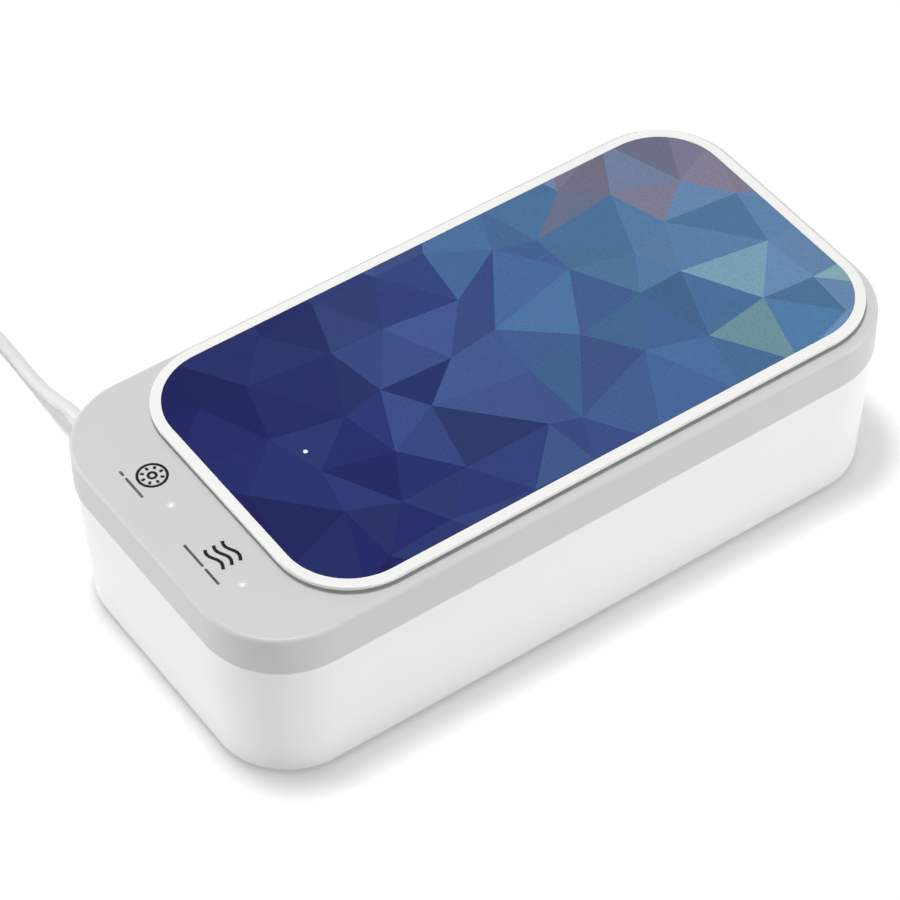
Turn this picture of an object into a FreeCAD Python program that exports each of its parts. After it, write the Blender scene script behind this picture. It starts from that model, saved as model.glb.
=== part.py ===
"""Sanitizer box: a tapered tub with an ultrasonic tank, under a hinged lid that carries the lamps
and a raised charging pad. Millimetres, +Z up. The origin lies on the table in the middle of the
footprint, hinges included. +X points away from the touch symbols, and -Y is the front."""

import FreeCAD
import Part
import math
import os

from FreeCAD import Vector

# Case outline and heights
CASE_LENGTH = 212.2
CASE_WIDTH = 105.0
CASE_CORNER = 24.0
FOOT_STAND = 1.0
BASE_HEIGHT = 42.0
BASE_INSET = 0.4            # the base's top edge stands this far inside the lid
BASE_DRAFT = 2.1            # how much further in its bottom edge stands
BASE_WALL = 2.2
BASE_TOP_EDGE = 0.4
BASE_BOTTOM_EDGE = 1.2
DECK_THICK = 3.2
PARTING_GAP = 0.4
LID_HEIGHT = 12.5
LID_WALL = 2.2
LID_ROOF = 2.0
LID_TOP_EDGE = 1.4
LID_BOTTOM_EDGE = 0.3

# Bottom cover, its screws and the feet
COVER_THICK = 2.0
COVER_GAP = 0.2
POST_RADIUS = 2.8
POST_BITE = 0.2             # the screw posts stand this far into the corner walls
CASE_SCREW_RADIUS = 1.2
CASE_SCREW_LENGTH = 11.0
CASE_SCREW_HEAD = 2.1
CASE_SCREW_SINK = 1.3
FOOT_RADIUS = 6.0
FOOT_SOCKET = 1.0
FOOT_EDGE = 0.4
FOOT_FROM_END = 31.0
FOOT_FROM_SIDE = 20.0
VENT_COUNT = 7
VENT_WIDTH = 2.0
VENT_LENGTH = 18.0
VENT_PITCH = 5.0

# Tank and what closes round its mouth
TANK_WALL = 0.6
TANK_FLOOR_GAP = 9.8        # from the bottom cover up to the tank
TANK_CORNER_STEP = 9.0      # how much smaller its corners are than the case's
TANK_BOTTOM_EDGE = 6.0
TANK_FLANGE = 5.0
TANK_END_GAP = 8.5          # to the inside of the base at the +X end
TANK_SIDE_GAP = 7.9
BAY_LENGTH = 29.0           # room for the electronics at the button end
TANK_GAP = 0.2
GASKET_THICK = 0.6
BEZEL_THICK = 1.0
BEZEL_EDGE = 0.3
PIEZO_RADIUS = 25.0
PIEZO_THICK = 2.6
LEAD_RADIUS = 0.7
LEAD_SPACING = 6.0
LEAD_BEND = 4.0

# Electronics in the base
BOARD_LIFT = 5.0            # standoff height above the bottom cover
BOARD_THICK = 1.6
BOARD_MARGIN = 2.6          # to the walls of the bay
STANDOFF_RADIUS = 2.5
STANDOFF_FROM_EDGE = 3.6
BOARD_SCREW_RADIUS = 1.0
BOARD_SCREW_LENGTH = 5.0
BOARD_SCREW_HEAD = 2.0
BOARD_SCREW_HEAD_THICK = 1.4
TRANSFORMER_SIZE = (14.0, 13.0, 12.0)
TRANSFORMER_FLANGE = 1.4
TRANSFORMER_CORE = 5.6      # the core's width
TRANSFORMER_BOBBIN = 11.2   # the bobbin's length
TRANSFORMER_WINDING = (9.8, 11.8)
CAPACITOR_RADIUS = 3.5
CAPACITOR_HEIGHT = 13.0
CAPACITOR_EDGE = 0.6
CAPACITOR_PITCH = 10.0
SINK_LENGTH = 18.0
SINK_HEIGHT = 20.0
SINK_PLATE = 1.5
SINK_FIN = 4.0
SINK_FIN_THICK = 1.1
SINK_FINS = 4
TRANSISTOR_SIZE = (10.0, 4.5, 15.0)
PART_GAP = 1.2              # between the parts that stand in a row on the board
CONNECTOR_SIZE = (7.0, 6.5, 7.0)
CONNECTOR_PITCH = 11.0
SENSOR_BOARD_SIDE = 7.0
SENSOR_BOARD_THICK = 1.0
SENSOR_SIZE = (4.0, 3.0, 1.2)
MAGNET_RADIUS = 3.0
MAGNET_THICK = 2.0
MAGNET_COLLAR = 1.0
MAGNET_FROM_END = 21.0
MAGNET_FROM_FRONT = 16.5

# Power socket and the plug in it
SOCKET_PAST_BOARD = 0.4     # the socket's middle, past the board's end
SOCKET_WIDTH = 9.4
SOCKET_HEIGHT = 3.6
SOCKET_LENGTH = 7.4
SOCKET_SHELL = 0.3
SOCKET_SETBACK = 0.2
SOCKET_TONGUE = (6.6, 0.7, 4.6)
SOCKET_TONGUE_EDGE = 0.2
PLUG_FIT = 0.15
PLUG_SHELL = 0.35
PLUG_SHELL_LENGTH = 6.4
PLUG_BODY = (12.4, 6.6, 18.0)
PLUG_STANDOFF = 0.3
PLUG_CORNER = 2.4
RELIEF_LENGTH = 10.0
RELIEF_START = 2.9
RELIEF_LIP = 0.3            # how much thicker than the cord a strain relief ends

# Hinges: two pinned ones, and a hollow one between them for the wires
HINGE_INSET = 0.5           # the axis lies this far inside the lid's back face
HINGE_RADIUS = 3.2
HINGE_SPACING = 120.0
HINGE_LENGTH = 24.0
HINGE_MIDDLE = 9.4
HINGE_GAP = 0.3
HINGE_CLEAR = 0.4
HINGE_WEB = 8.0
HINGE_SEAT = 2.4
PIN_RADIUS = 1.25
PIN_RUN = 0.05
PIN_PRESS = 0.02
PIN_END = 0.5
STOP_INNER = 1.9
STOP_SKIN = 0.2
STOP_DEPTH = 1.5
STOP_FROM = 20.0            # degrees, where the lid's stop dog starts when shut
STOP_SPAN = 60.0
STOP_PLAY = 0.5
LID_OPENS = 100.0
DUCT_LENGTH = 14.0
BUSH_RADIUS = 2.1
BUSH_BORE = 1.3
BUSH_HALF = 5.0
HARNESS_RADIUS = 1.0
HARNESS_CLEAR = 0.4
HARNESS_BEND = 3.0
HARNESS_TURN_X = 9.0
HARNESS_BELOW_DECK = 9.2
HARNESS_LID_RISE = 6.2

# Lid liner, seal and lamps
LINER_RECESS = 0.4
LINER_THICK = 1.6
LINER_GAP = 0.2
LINER_BOSS = 2.6
LINER_BOSS_GAP = 0.4
LINER_SIDE_BOSS_X = 30.0
LINER_SCREW_RADIUS = 0.95
LINER_SCREW_LENGTH = 6.5
LINER_SCREW_HEAD = 1.9
LINER_SCREW_SINK = 0.9
SEAL_FROM_TANK = 1.0
SEAL_WIDTH = 2.0
SEAL_GROOVE = 0.8
SEAL_LIFT = 0.1
WINDOW_FROM_END = 14.7      # to the tank's ends
WINDOW_WIDTH = 26.0
WINDOW_CORNER = 5.0
WINDOW_THICK = 1.0
WINDOW_LEDGE = 2.0
WINDOW_GAP = 0.15
REFLECTOR_BORDER = 3.0      # how far the reflector laps over the window's opening
REFLECTOR_THICK = 0.5
UV_BOARD_BORDER = 1.0
UV_BOARD_THICK = 1.2
UV_COUNT = 6
UV_FROM_END = 13.0
UV_SIDE = 3.5
UV_BODY = 0.7
UV_LENS_RADIUS = 1.3
UV_LENS = 0.3
UV_HOLE_GAP = 0.4
STAKE_RADIUS = 1.2
STAKE_FIT = 0.1
STAKE_INSET = 2.4
STAKE_PROUD = 0.5

# Touch symbols, lights and boards under the lid's roof
SYMBOL_FROM_END = 14.8
SYMBOL_FROM_BACK = 34.4      # the first symbol's middle
SYMBOL_FROM_FRONT = 36.7     # the second symbol's middle
LIGHT_FROM_END = 13.3
LIGHT_STEPS = (11.6, 11.1)   # from each symbol to its light
LIGHT_RADIUS = 0.7
LIGHT_FLANGE = 1.2
LIGHT_FIT = 0.05
CHARGE_LIGHT_FROM_PAD = 26.7
BOARD_DROP = 1.4            # from the roof down to the boards
LID_BOARD_THICK = 1.0
TOUCH_BOARD_WIDTH = 14.0
TOUCH_GAP = 1.0
TOUCH_PAD_RADIUS = 3.6
LED_SIZE = (1.6, 1.2, 0.6)
LED_GAP = 0.1
LID_BOSS = 2.2
LID_BOSS_INSET = 3.0
LID_SCREW_RADIUS = 0.9
LID_SCREW_LENGTH = 3.2
LID_SCREW_HEAD = 1.7
LID_SCREW_HEAD_THICK = 1.0
CHARGER_WIDTH = 40.0
CHARGER_GAP = 0.4           # to the coil's well
CHARGE_LIGHT_INSET = 4.7    # the charge light's lamp from the board's end
CHIP_SIZE = (7.0, 7.0, 1.0)
CHOKE_SIZE = (8.0, 8.0, 1.0)
CHIP_OFFSET = 9.0

# Charging pad
PAD_FROM_BUTTON_END = 23.8
PAD_FROM_SIDE = 3.2
PAD_CORNER_STEP = 1.9       # how much smaller its corners are than the lid's
PAD_FROM_END = 2.9          # to the lid's +X end
PAD_GAP = 1.2
PAD_THICK = 1.3
PAD_RIM = 3.0
PAD_TOP_EDGE = 0.4
PAD_LOW_EDGE = 0.3
PANEL_THICK = 0.6
PANEL_GAP = 0.1
PEDESTAL_INSET = 6.0
PEDESTAL_WALL = 2.0
COIL_OUTER = 23.0
COIL_INNER = 10.0
COIL_THICK = 1.2
FERRITE_SIDE = 50.0
FERRITE_THICK = 0.8
COIL_WELL_GAP = 3.0
WELL_CORNER = 4.0

# Cord: a short lead on the table, a tied coil of two layers and the far plug
CORD_DIAMETER = 3.8
CORD_TURN_GAP = 0.5
COIL_INNER_BEND = 12.0
COIL_HALF_TURNS = 7         # half turns in each layer
COIL_CENTRE = (-103.4, 183.5)
CORD_STRAIGHT = 9.6         # straight run at both ends of the lead
CORD_ROUTE = (
    (-76.1, 100.95, 5.45),
    (-75.6, 113.35, 2.3),
    (-75.0, 126.35, 1.95),
    (-75.0, 139.85, 1.95),
    (-75.4, 152.85, 3.0),
)
TIE_WIDTH = 5.0
TIE_THICK = 0.8
TIE_CLEAR = 0.5
TIE_SLACK = 1.2             # room at the coil's inner side, where its turns bend away
USB_RELIEF_LENGTH = 14.0
USB_RELIEF_END = 2.6
USB_BODY_WIDTH = 14.4
USB_BODY_LENGTH = 22.0
USB_BODY_CORNER = 1.6
USB_SHELL_WIDTH = 12.0
USB_SHELL_HEIGHT = 4.5
USB_SHELL_LENGTH = 11.8
USB_SHELL_WALL = 0.3
USB_SHELL_CORNER = 0.5
USB_TONGUE = (10.6, 1.9, 9.0)
USB_TONGUE_EDGE = 0.4
ARC_SHARE = 0.45            # how much of the shorter run an arc of a bent tube takes
OVAL_SHARE = 0.45           # end radius of a flat oval, as a share of its height
CROSS_ARM = 1.1             # a screw's cross recess, as shares of the head's radius
CROSS_SLOT = 0.28
PAN_SLOT = (1.4, 0.3)       # a pan head's slot, the same way
PAN_EDGE = 0.4              # a pan head's rounding, as a share of its height

# Heights above the table
BASE_BOTTOM = FOOT_STAND
BASE_TOP = BASE_BOTTOM + BASE_HEIGHT
DECK_BOTTOM = BASE_TOP - DECK_THICK
COVER_TOP = BASE_BOTTOM + COVER_THICK
FLANGE_TOP = BASE_TOP - BEZEL_THICK
FLANGE_BOTTOM = FLANGE_TOP - TANK_WALL
LEDGE_TOP = FLANGE_BOTTOM - GASKET_THICK
TANK_BOTTOM = COVER_TOP + TANK_FLOOR_GAP
BOARD_BOTTOM = COVER_TOP + BOARD_LIFT
BOARD_TOP = BOARD_BOTTOM + BOARD_THICK
SOCKET_Z = BOARD_TOP + SOCKET_HEIGHT / 2
LID_BOTTOM = BASE_TOP + PARTING_GAP
LID_TOP = LID_BOTTOM + LID_HEIGHT
ROOF_BOTTOM = LID_TOP - LID_ROOF
LINER_BOTTOM = LID_BOTTOM + LINER_RECESS
LINER_TOP = LINER_BOTTOM + LINER_THICK
UV_BOARD_BOTTOM = LINER_TOP + REFLECTOR_THICK
UV_BOARD_TOP = UV_BOARD_BOTTOM + UV_BOARD_THICK
LID_BOARD_TOP = ROOF_BOTTOM - BOARD_DROP
LID_BOARD_BOTTOM = LID_BOARD_TOP - LID_BOARD_THICK
PAD_BOTTOM = LID_TOP + PAD_GAP
PAD_TOP = PAD_BOTTOM + PAD_THICK
PANEL_BOTTOM = PAD_TOP - PANEL_THICK

# Places worked out from the sizes above
HALF_LENGTH = CASE_LENGTH / 2
HALF_WIDTH = CASE_WIDTH / 2
AXIS_Y = HALF_WIDTH - HINGE_INSET
AXIS_Z = BASE_TOP
FOOTPRINT_SHIFT = Vector(0, -(AXIS_Y + HINGE_RADIUS - HALF_WIDTH) / 2, 0)
BASE_INSIDE = HALF_LENGTH - BASE_INSET - BASE_WALL
BASE_INSIDE_Y = HALF_WIDTH - BASE_INSET - BASE_WALL
TANK_RIGHT = BASE_INSIDE - TANK_END_GAP
TANK_LEFT = -BASE_INSIDE + BAY_LENGTH
TANK_X = (TANK_RIGHT + TANK_LEFT) / 2
TANK_CORNER = CASE_CORNER - TANK_CORNER_STEP
TANK_LENGTH = TANK_RIGHT - TANK_LEFT - 2 * TANK_WALL
TANK_WIDTH = 2 * (BASE_INSIDE_Y - TANK_SIDE_GAP - TANK_WALL)
WINDOW_LENGTH = TANK_LENGTH - 2 * WINDOW_FROM_END
PAD_LENGTH = CASE_LENGTH - PAD_FROM_END - PAD_FROM_BUTTON_END
PAD_WIDTH = CASE_WIDTH - 2 * PAD_FROM_SIDE
PAD_CORNER = CASE_CORNER - PAD_CORNER_STEP
PAD_X = HALF_LENGTH - PAD_FROM_END - PAD_LENGTH / 2
SOCKET_X = TANK_LEFT - BOARD_MARGIN + SOCKET_PAST_BOARD
SYMBOL_X = -HALF_LENGTH + SYMBOL_FROM_END
LIGHT_X = -HALF_LENGTH + LIGHT_FROM_END
SYMBOL_Y = (HALF_WIDTH - SYMBOL_FROM_BACK, SYMBOL_FROM_FRONT - HALF_WIDTH)
LIGHT_Y = tuple(y - step for y, step in zip(SYMBOL_Y, LIGHT_STEPS))
CHARGE_LIGHT_X = PAD_X - PAD_LENGTH / 2 + CHARGE_LIGHT_FROM_PAD
MAGNET_X = -HALF_LENGTH + MAGNET_FROM_END
MAGNET_Y = -HALF_WIDTH + MAGNET_FROM_FRONT
COIL_WELL = FERRITE_SIDE + 2 * COIL_WELL_GAP
CHARGER_LEFT = CHARGE_LIGHT_X - CHARGE_LIGHT_INSET
CHARGER_RIGHT = PAD_X - COIL_WELL / 2 - CHARGER_GAP
CHARGER_X = (CHARGER_LEFT + CHARGER_RIGHT) / 2
CHARGER_LENGTH = CHARGER_RIGHT - CHARGER_LEFT
BOARD_PARTS = (             # name, depth along Y and the gap behind each part
    ("fins", SINK_FIN, 0.0),
    ("sink", SINK_PLATE, 0.0),
    ("transistor", TRANSISTOR_SIZE[1], PART_GAP),
    ("transformer", TRANSFORMER_SIZE[1], PART_GAP),
    ("capacitors", 2 * CAPACITOR_RADIUS, PART_GAP),
    ("connectors", CONNECTOR_SIZE[1], 0.0),
)
BOARD_WIDTH = sum(depth + gap for name, depth, gap in BOARD_PARTS) + 4 * STANDOFF_FROM_EDGE
HINGE_CENTRES = (-HINGE_SPACING / 2, HINGE_SPACING / 2)
CORD_RADIUS = CORD_DIAMETER / 2
CORD_PITCH = CORD_DIAMETER + CORD_TURN_GAP
COIL_LOW = TIE_THICK + TIE_CLEAR + CORD_RADIUS
COIL_HIGH = COIL_LOW + CORD_PITCH
COIL_OUTER_BEND = COIL_INNER_BEND + COIL_HALF_TURNS * CORD_PITCH / 2


def rounded_rectangle(length, width, radius, z, x=0.0, y=0.0):
    """Level closed wire: a rectangle with quarter-circle corners."""
    arcs = []
    for turn, (side_x, side_y) in enumerate(((1, 1), (-1, 1), (-1, -1), (1, -1))):
        centre = Vector(x + side_x * (length / 2 - radius), y + side_y * (width / 2 - radius), z)
        angles = [math.radians(90 * turn + step) for step in (0, 45, 90)]
        arcs.append([centre + Vector(math.cos(a), math.sin(a), 0) * radius for a in angles])
    edges = []
    for index, (start, middle, end) in enumerate(arcs):
        edges.append(Part.Arc(start, middle, end).toShape())
        edges.append(Part.LineSegment(end, arcs[(index + 1) % 4][0]).toShape())
    return Part.Wire(edges)


def slab(length, width, radius, low, high, x=0.0, y=0.0):
    """Level plate with round corners between two heights."""
    face = Part.Face(rounded_rectangle(length, width, radius, low, x, y))
    return face.extrude(Vector(0, 0, high - low))


def block(size, x, y, low):
    """Plain block standing at a height, centred on x and y."""
    corner = Vector(x - size[0] / 2, y - size[1] / 2, low)
    return Part.makeBox(size[0], size[1], size[2], corner)


def post(radius, low, high, x, y):
    """Upright round bar."""
    return Part.makeCylinder(radius, high - low, Vector(x, y, low))


def axle(radius, left, right):
    """Round bar along the lid's hinge axis."""
    return Part.makeCylinder(radius, right - left, Vector(left, AXIS_Y, AXIS_Z), Vector(1, 0, 0))


def bar(width, height, radius, near, far, x, z):
    """Bar with round corners that runs along Y from near to far."""
    shape = slab(width, height, radius, 0, far - near)
    shape.rotate(Vector(0, 0, 0), Vector(1, 0, 0), -90)
    shape.translate(Vector(x, near, z))
    return shape


def edges_at(shape, z):
    """Edges that lie level at a height."""
    return [e for e in shape.Edges if all(abs(v.Z - z) < 1e-6 for v in e.Vertexes)]


def fuse_all(shapes):
    """One solid of several that touch."""
    return shapes[0].fuse(shapes[1:]).removeSplitter()


def ring(outer, inner):
    """What is left of a plate when a smaller one is cut out of it."""
    return outer.cut(inner)


def unit(vector):
    return vector * (1.0 / vector.Length)


def bent_path(points, largest=None):
    """Straight runs joined by tangent arcs as large as the runs allow. Returns edges and radii."""
    edges = []
    radii = []
    start = points[0]
    for before, corner, after in zip(points, points[1:], points[2:]):
        inward = corner - before
        outward = after - corner
        half_turn = math.tan(inward.getAngle(outward) / 2)
        radius = ARC_SHARE * min(inward.Length, outward.Length) / half_turn
        radius = min(radius, largest) if largest else radius
        setback = radius * half_turn
        arc_start = corner - unit(inward) * setback
        arc_end = corner + unit(outward) * setback
        bow = math.hypot(radius, setback) - radius
        middle = corner + unit(unit(outward) - unit(inward)) * bow
        edges.append(Part.LineSegment(start, arc_start).toShape())
        edges.append(Part.Arc(arc_start, middle, arc_end).toShape())
        radii.append(radius)
        start = arc_end
    edges.append(Part.LineSegment(start, points[-1]).toShape())
    return edges, radii


def tube(edges, radius):
    """Round tube along joined edges, square at both ends."""
    path = Part.Wire(edges)
    first = path.OrderedEdges[0]
    start = path.OrderedVertexes[0].Point
    heading = first.tangentAt(first.FirstParameter)
    section = Part.Wire(Part.makeCircle(radius, start, heading))
    return path.makePipeShell([section], True, False)


def base_inset(z):
    """How far the base's tapering side stands inside the lid's outline at a height."""
    return BASE_INSET + BASE_DRAFT * (BASE_TOP - z) / BASE_HEIGHT


def base_block(low, high, inward):
    """Tapered block that follows the base's side, offset inwards."""
    outlines = []
    for z in (low, high):
        inset = base_inset(z) + inward
        outlines.append(rounded_rectangle(
            CASE_LENGTH - 2 * inset, CASE_WIDTH - 2 * inset, CASE_CORNER - inset, z))
    return Part.makeLoft(outlines, True, True)


def lid_slab(low, high, inward):
    """Plate with the lid's outline, offset inwards."""
    return slab(CASE_LENGTH - 2 * inward, CASE_WIDTH - 2 * inward, CASE_CORNER - inward, low, high)


def tank_slab(low, high, outward):
    """Plate with the outline of the tank's inside, offset outwards."""
    return slab(TANK_LENGTH + 2 * outward, TANK_WIDTH + 2 * outward, TANK_CORNER + outward,
                low, high, TANK_X)


def pad_slab(low, high, inward):
    """Plate with the charging pad's outline, offset inwards."""
    return slab(PAD_LENGTH - 2 * inward, PAD_WIDTH - 2 * inward, PAD_CORNER - inward,
                low, high, PAD_X)


def window_slab(low, high, outward):
    """Plate with the outline of the lamp window, offset outwards."""
    return slab(WINDOW_LENGTH + 2 * outward, WINDOW_WIDTH + 2 * outward, WINDOW_CORNER + outward,
                low, high, TANK_X)


def corner_points(reach):
    """Four points on the diagonals of the case's corner arcs."""
    x = HALF_LENGTH - CASE_CORNER + reach / math.sqrt(2)
    y = HALF_WIDTH - CASE_CORNER + reach / math.sqrt(2)
    return [(side_x * x, side_y * y) for side_x in (-1, 1) for side_y in (-1, 1)]


def case_post_points():
    narrowest = CASE_CORNER - base_inset(BASE_BOTTOM) - BASE_WALL
    return corner_points(narrowest - POST_RADIUS + POST_BITE)


def liner_boss_points():
    side_y = HALF_WIDTH - LID_WALL - LINER_BOSS - LINER_BOSS_GAP
    corners = corner_points(CASE_CORNER - LID_WALL - LINER_BOSS - LINER_BOSS_GAP)
    return corners + [(LINER_SIDE_BOSS_X, -side_y), (LINER_SIDE_BOSS_X, side_y)]


def foot_points():
    x = HALF_LENGTH - FOOT_FROM_END
    y = HALF_WIDTH - FOOT_FROM_SIDE
    return [(side_x * x, side_y * y) for side_x in (-1, 1) for side_y in (-1, 1)]


def sunk_screw(radius, length, head_radius, sink, x, y, low):
    """Countersunk screw, head down, with a cross recess."""
    head = Part.makeCone(head_radius, radius, sink, Vector(x, y, low))
    shape = head.fuse(post(radius, low, low + length, x, y)).removeSplitter()
    arm = head_radius * CROSS_ARM
    slot = head_radius * CROSS_SLOT
    cross = block((arm, slot, sink / 2), x, y, low).fuse(block((slot, arm, sink / 2), x, y, low))
    return shape.cut(cross)


def pan_screw(radius, length, head_radius, head_thick, x, y, seat, way):
    """Pan-head screw seated at a height, its head on the side that way points to."""
    tip = Vector(0, 0, way)
    shank = Part.makeCylinder(radius, length, Vector(x, y, seat), tip * -1)
    head = Part.makeCylinder(head_radius, head_thick, Vector(x, y, seat), tip)
    head = head.makeFillet(head_thick * PAN_EDGE, edges_at(head, seat + way * head_thick))
    slot_low = seat + head_thick / 2 if way > 0 else seat - head_thick
    slot = block((head_radius * PAN_SLOT[0], head_radius * PAN_SLOT[1], head_thick / 2), x, y, slot_low)
    return head.fuse(shank).removeSplitter().cut(slot)


def base_knuckles():
    """X spans of the hinge barrels that belong to the base."""
    spans = [(-DUCT_LENGTH, -HINGE_GAP / 2)]
    for centre in HINGE_CENTRES:
        inner = HINGE_MIDDLE / 2 + HINGE_GAP
        spans.append((centre - HINGE_LENGTH / 2, centre - inner))
        spans.append((centre + inner, centre + HINGE_LENGTH / 2))
    return spans


def lid_knuckles():
    """X spans of the hinge barrels that belong to the lid."""
    spans = [(HINGE_GAP / 2, DUCT_LENGTH)]
    spans += [(c - HINGE_MIDDLE / 2, c + HINGE_MIDDLE / 2) for c in HINGE_CENTRES]
    return spans


def hinge_stations():
    """X spans of the three whole hinges."""
    spans = [(c - HINGE_LENGTH / 2, c + HINGE_LENGTH / 2) for c in HINGE_CENTRES]
    return [(-DUCT_LENGTH, DUCT_LENGTH)] + spans


def knuckle(left, right, way):
    """Barrel on the axis with a web that runs tangent to it down (way -1) or up to its wall."""
    toe_z = AXIS_Z + way * HINGE_WEB
    toe_y = HALF_WIDTH - (base_inset(toe_z) if way < 0 else 0)
    reach = math.hypot(toe_y - AXIS_Y, toe_z - AXIS_Z)
    angle = math.atan2(toe_z - AXIS_Z, toe_y - AXIS_Y) - way * math.acos(HINGE_RADIUS / reach)
    outline = [
        (AXIS_Y, AXIS_Z),
        (AXIS_Y + HINGE_RADIUS * math.cos(angle), AXIS_Z + HINGE_RADIUS * math.sin(angle)),
        (toe_y, toe_z),
        (toe_y - BASE_WALL / 2, toe_z),
        (AXIS_Y - HINGE_RADIUS, AXIS_Z),
    ]
    points = [Vector(left, y, z) for y, z in outline + outline[:1]]
    web = Part.Face(Part.makePolygon(points)).extrude(Vector(right - left, 0, 0))
    return axle(HINGE_RADIUS, left, right).fuse(web).removeSplitter()


def stop_sector(left, right, inner, outer, first, last):
    """Part of a ring on the hinge axis between two angles, measured from +Y towards +Z."""
    section = Part.makePolygon([Vector(left, AXIS_Y + inner, AXIS_Z),
                                Vector(right, AXIS_Y + inner, AXIS_Z),
                                Vector(right, AXIS_Y + outer, AXIS_Z),
                                Vector(left, AXIS_Y + outer, AXIS_Z),
                                Vector(left, AXIS_Y + inner, AXIS_Z)])
    centre = Vector(left, AXIS_Y, AXIS_Z)
    face = Part.Face(section)
    face.rotate(centre, Vector(1, 0, 0), first)
    return face.revolve(centre, Vector(1, 0, 0), last - first)


def hinge_dogs():
    """Stop dogs on the lid's barrels, which turn in the recesses of the base's barrels."""
    outer = HINGE_RADIUS - STOP_SKIN
    return [stop_sector(c + HINGE_MIDDLE / 2, c + HINGE_MIDDLE / 2 + HINGE_GAP + STOP_DEPTH,
                        STOP_INNER + STOP_SKIN, outer, STOP_FROM, STOP_FROM + STOP_SPAN)
            for c in HINGE_CENTRES]


def hinge_recesses():
    """Room in the base's barrels for the stop dogs over the lid's whole travel."""
    shapes = []
    for centre in HINGE_CENTRES:
        left = centre + HINGE_MIDDLE / 2
        shapes.append(stop_sector(left, left + HINGE_GAP + STOP_DEPTH + STOP_SKIN,
                                  STOP_INNER, HINGE_RADIUS + STOP_SKIN,
                                  STOP_FROM - LID_OPENS - STOP_PLAY,
                                  STOP_FROM + STOP_SPAN + STOP_PLAY))
    return shapes


def hinge_pin(centre):
    half = HINGE_LENGTH / 2 - PIN_END
    return axle(PIN_RADIUS, centre - half, centre + half)


def hinge_bush():
    return axle(BUSH_RADIUS, -BUSH_HALF, BUSH_HALF).cut(axle(BUSH_BORE, -BUSH_HALF, BUSH_HALF))


def harness_base_path():
    """Wires from the main board, along the back wall and up into the hollow hinge."""
    x, y, top = connector_points()[0]
    wall_y = BASE_INSIDE_Y - TANK_SIDE_GAP / 2 - HARNESS_RADIUS
    run_z = DECK_BOTTOM - HARNESS_BELOW_DECK
    points = [(x, y, top), (x, y, run_z), (x, wall_y, run_z),
              (-HARNESS_TURN_X, wall_y, run_z), (-HARNESS_TURN_X, AXIS_Y, AXIS_Z),
              (0, AXIS_Y, AXIS_Z)]
    return bent_path([Vector(*p) for p in points], HARNESS_BEND)[0]


def harness_lid_path():
    """Wires from the hollow hinge into the lid and along its back to the charger board."""
    y = AXIS_Y - HINGE_RADIUS - HINGE_SEAT
    z = AXIS_Z + HARNESS_LID_RISE
    end_y = CHARGER_WIDTH / 2
    points = [(0, AXIS_Y, AXIS_Z), (HARNESS_TURN_X, AXIS_Y, AXIS_Z), (HARNESS_TURN_X, y, z),
              (CHARGER_X, y, z), (CHARGER_X, end_y, z)]
    return bent_path([Vector(*p) for p in points], HARNESS_BEND)[0]


def base_shell():
    shell = base_block(BASE_BOTTOM, BASE_TOP, 0)
    shell = shell.makeFillet(BASE_BOTTOM_EDGE, edges_at(shell, BASE_BOTTOM))
    shell = shell.makeFillet(BASE_TOP_EDGE, edges_at(shell, BASE_TOP))
    shell = shell.cut(base_block(BASE_BOTTOM, DECK_BOTTOM, BASE_WALL))
    added = [post(POST_RADIUS, COVER_TOP, DECK_BOTTOM, x, y) for x, y in case_post_points()]
    for left, right in hinge_stations():
        near = AXIS_Y - HINGE_RADIUS - HINGE_SEAT
        low = AXIS_Z - HINGE_RADIUS - HINGE_SEAT
        size = (right - left + 2 * HINGE_SEAT, BASE_INSIDE_Y + BASE_WALL / 2 - near, DECK_BOTTOM - low)
        added.append(block(size, (left + right) / 2, near + size[1] / 2, low))
    shell = fuse_all([shell] + added)
    shell = shell.cut([axle(HINGE_RADIUS + HINGE_CLEAR, left - HINGE_GAP, right + HINGE_GAP)
                       for left, right in lid_knuckles()])
    shell = fuse_all([shell] + [knuckle(left, right, -1) for left, right in base_knuckles()])
    half = HINGE_LENGTH / 2
    cuts = [axle(PIN_RADIUS + PIN_PRESS, c - half, c + half) for c in HINGE_CENTRES]
    cuts.append(axle(BUSH_RADIUS + PIN_PRESS, -BUSH_HALF - HINGE_GAP, 0))
    cuts += hinge_recesses()
    cuts.append(tube(harness_base_path(), HARNESS_RADIUS + HARNESS_CLEAR))
    cuts.append(tank_slab(DECK_BOTTOM, BASE_TOP, TANK_WALL + TANK_GAP))
    cuts.append(tank_slab(LEDGE_TOP, BASE_TOP, TANK_WALL + TANK_FLANGE + TANK_GAP))
    for x, y in case_post_points():
        top = BASE_BOTTOM + CASE_SCREW_LENGTH
        cuts.append(post(CASE_SCREW_RADIUS + PIN_PRESS, COVER_TOP, top, x, y))
    width = SOCKET_WIDTH + 2 * PLUG_FIT
    height = SOCKET_HEIGHT + 2 * PLUG_FIT
    near = BASE_INSIDE_Y - SOCKET_LENGTH
    cuts.append(bar(width, height, height * OVAL_SHARE, near, HALF_WIDTH, SOCKET_X, SOCKET_Z))
    return shell.cut(cuts)


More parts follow.
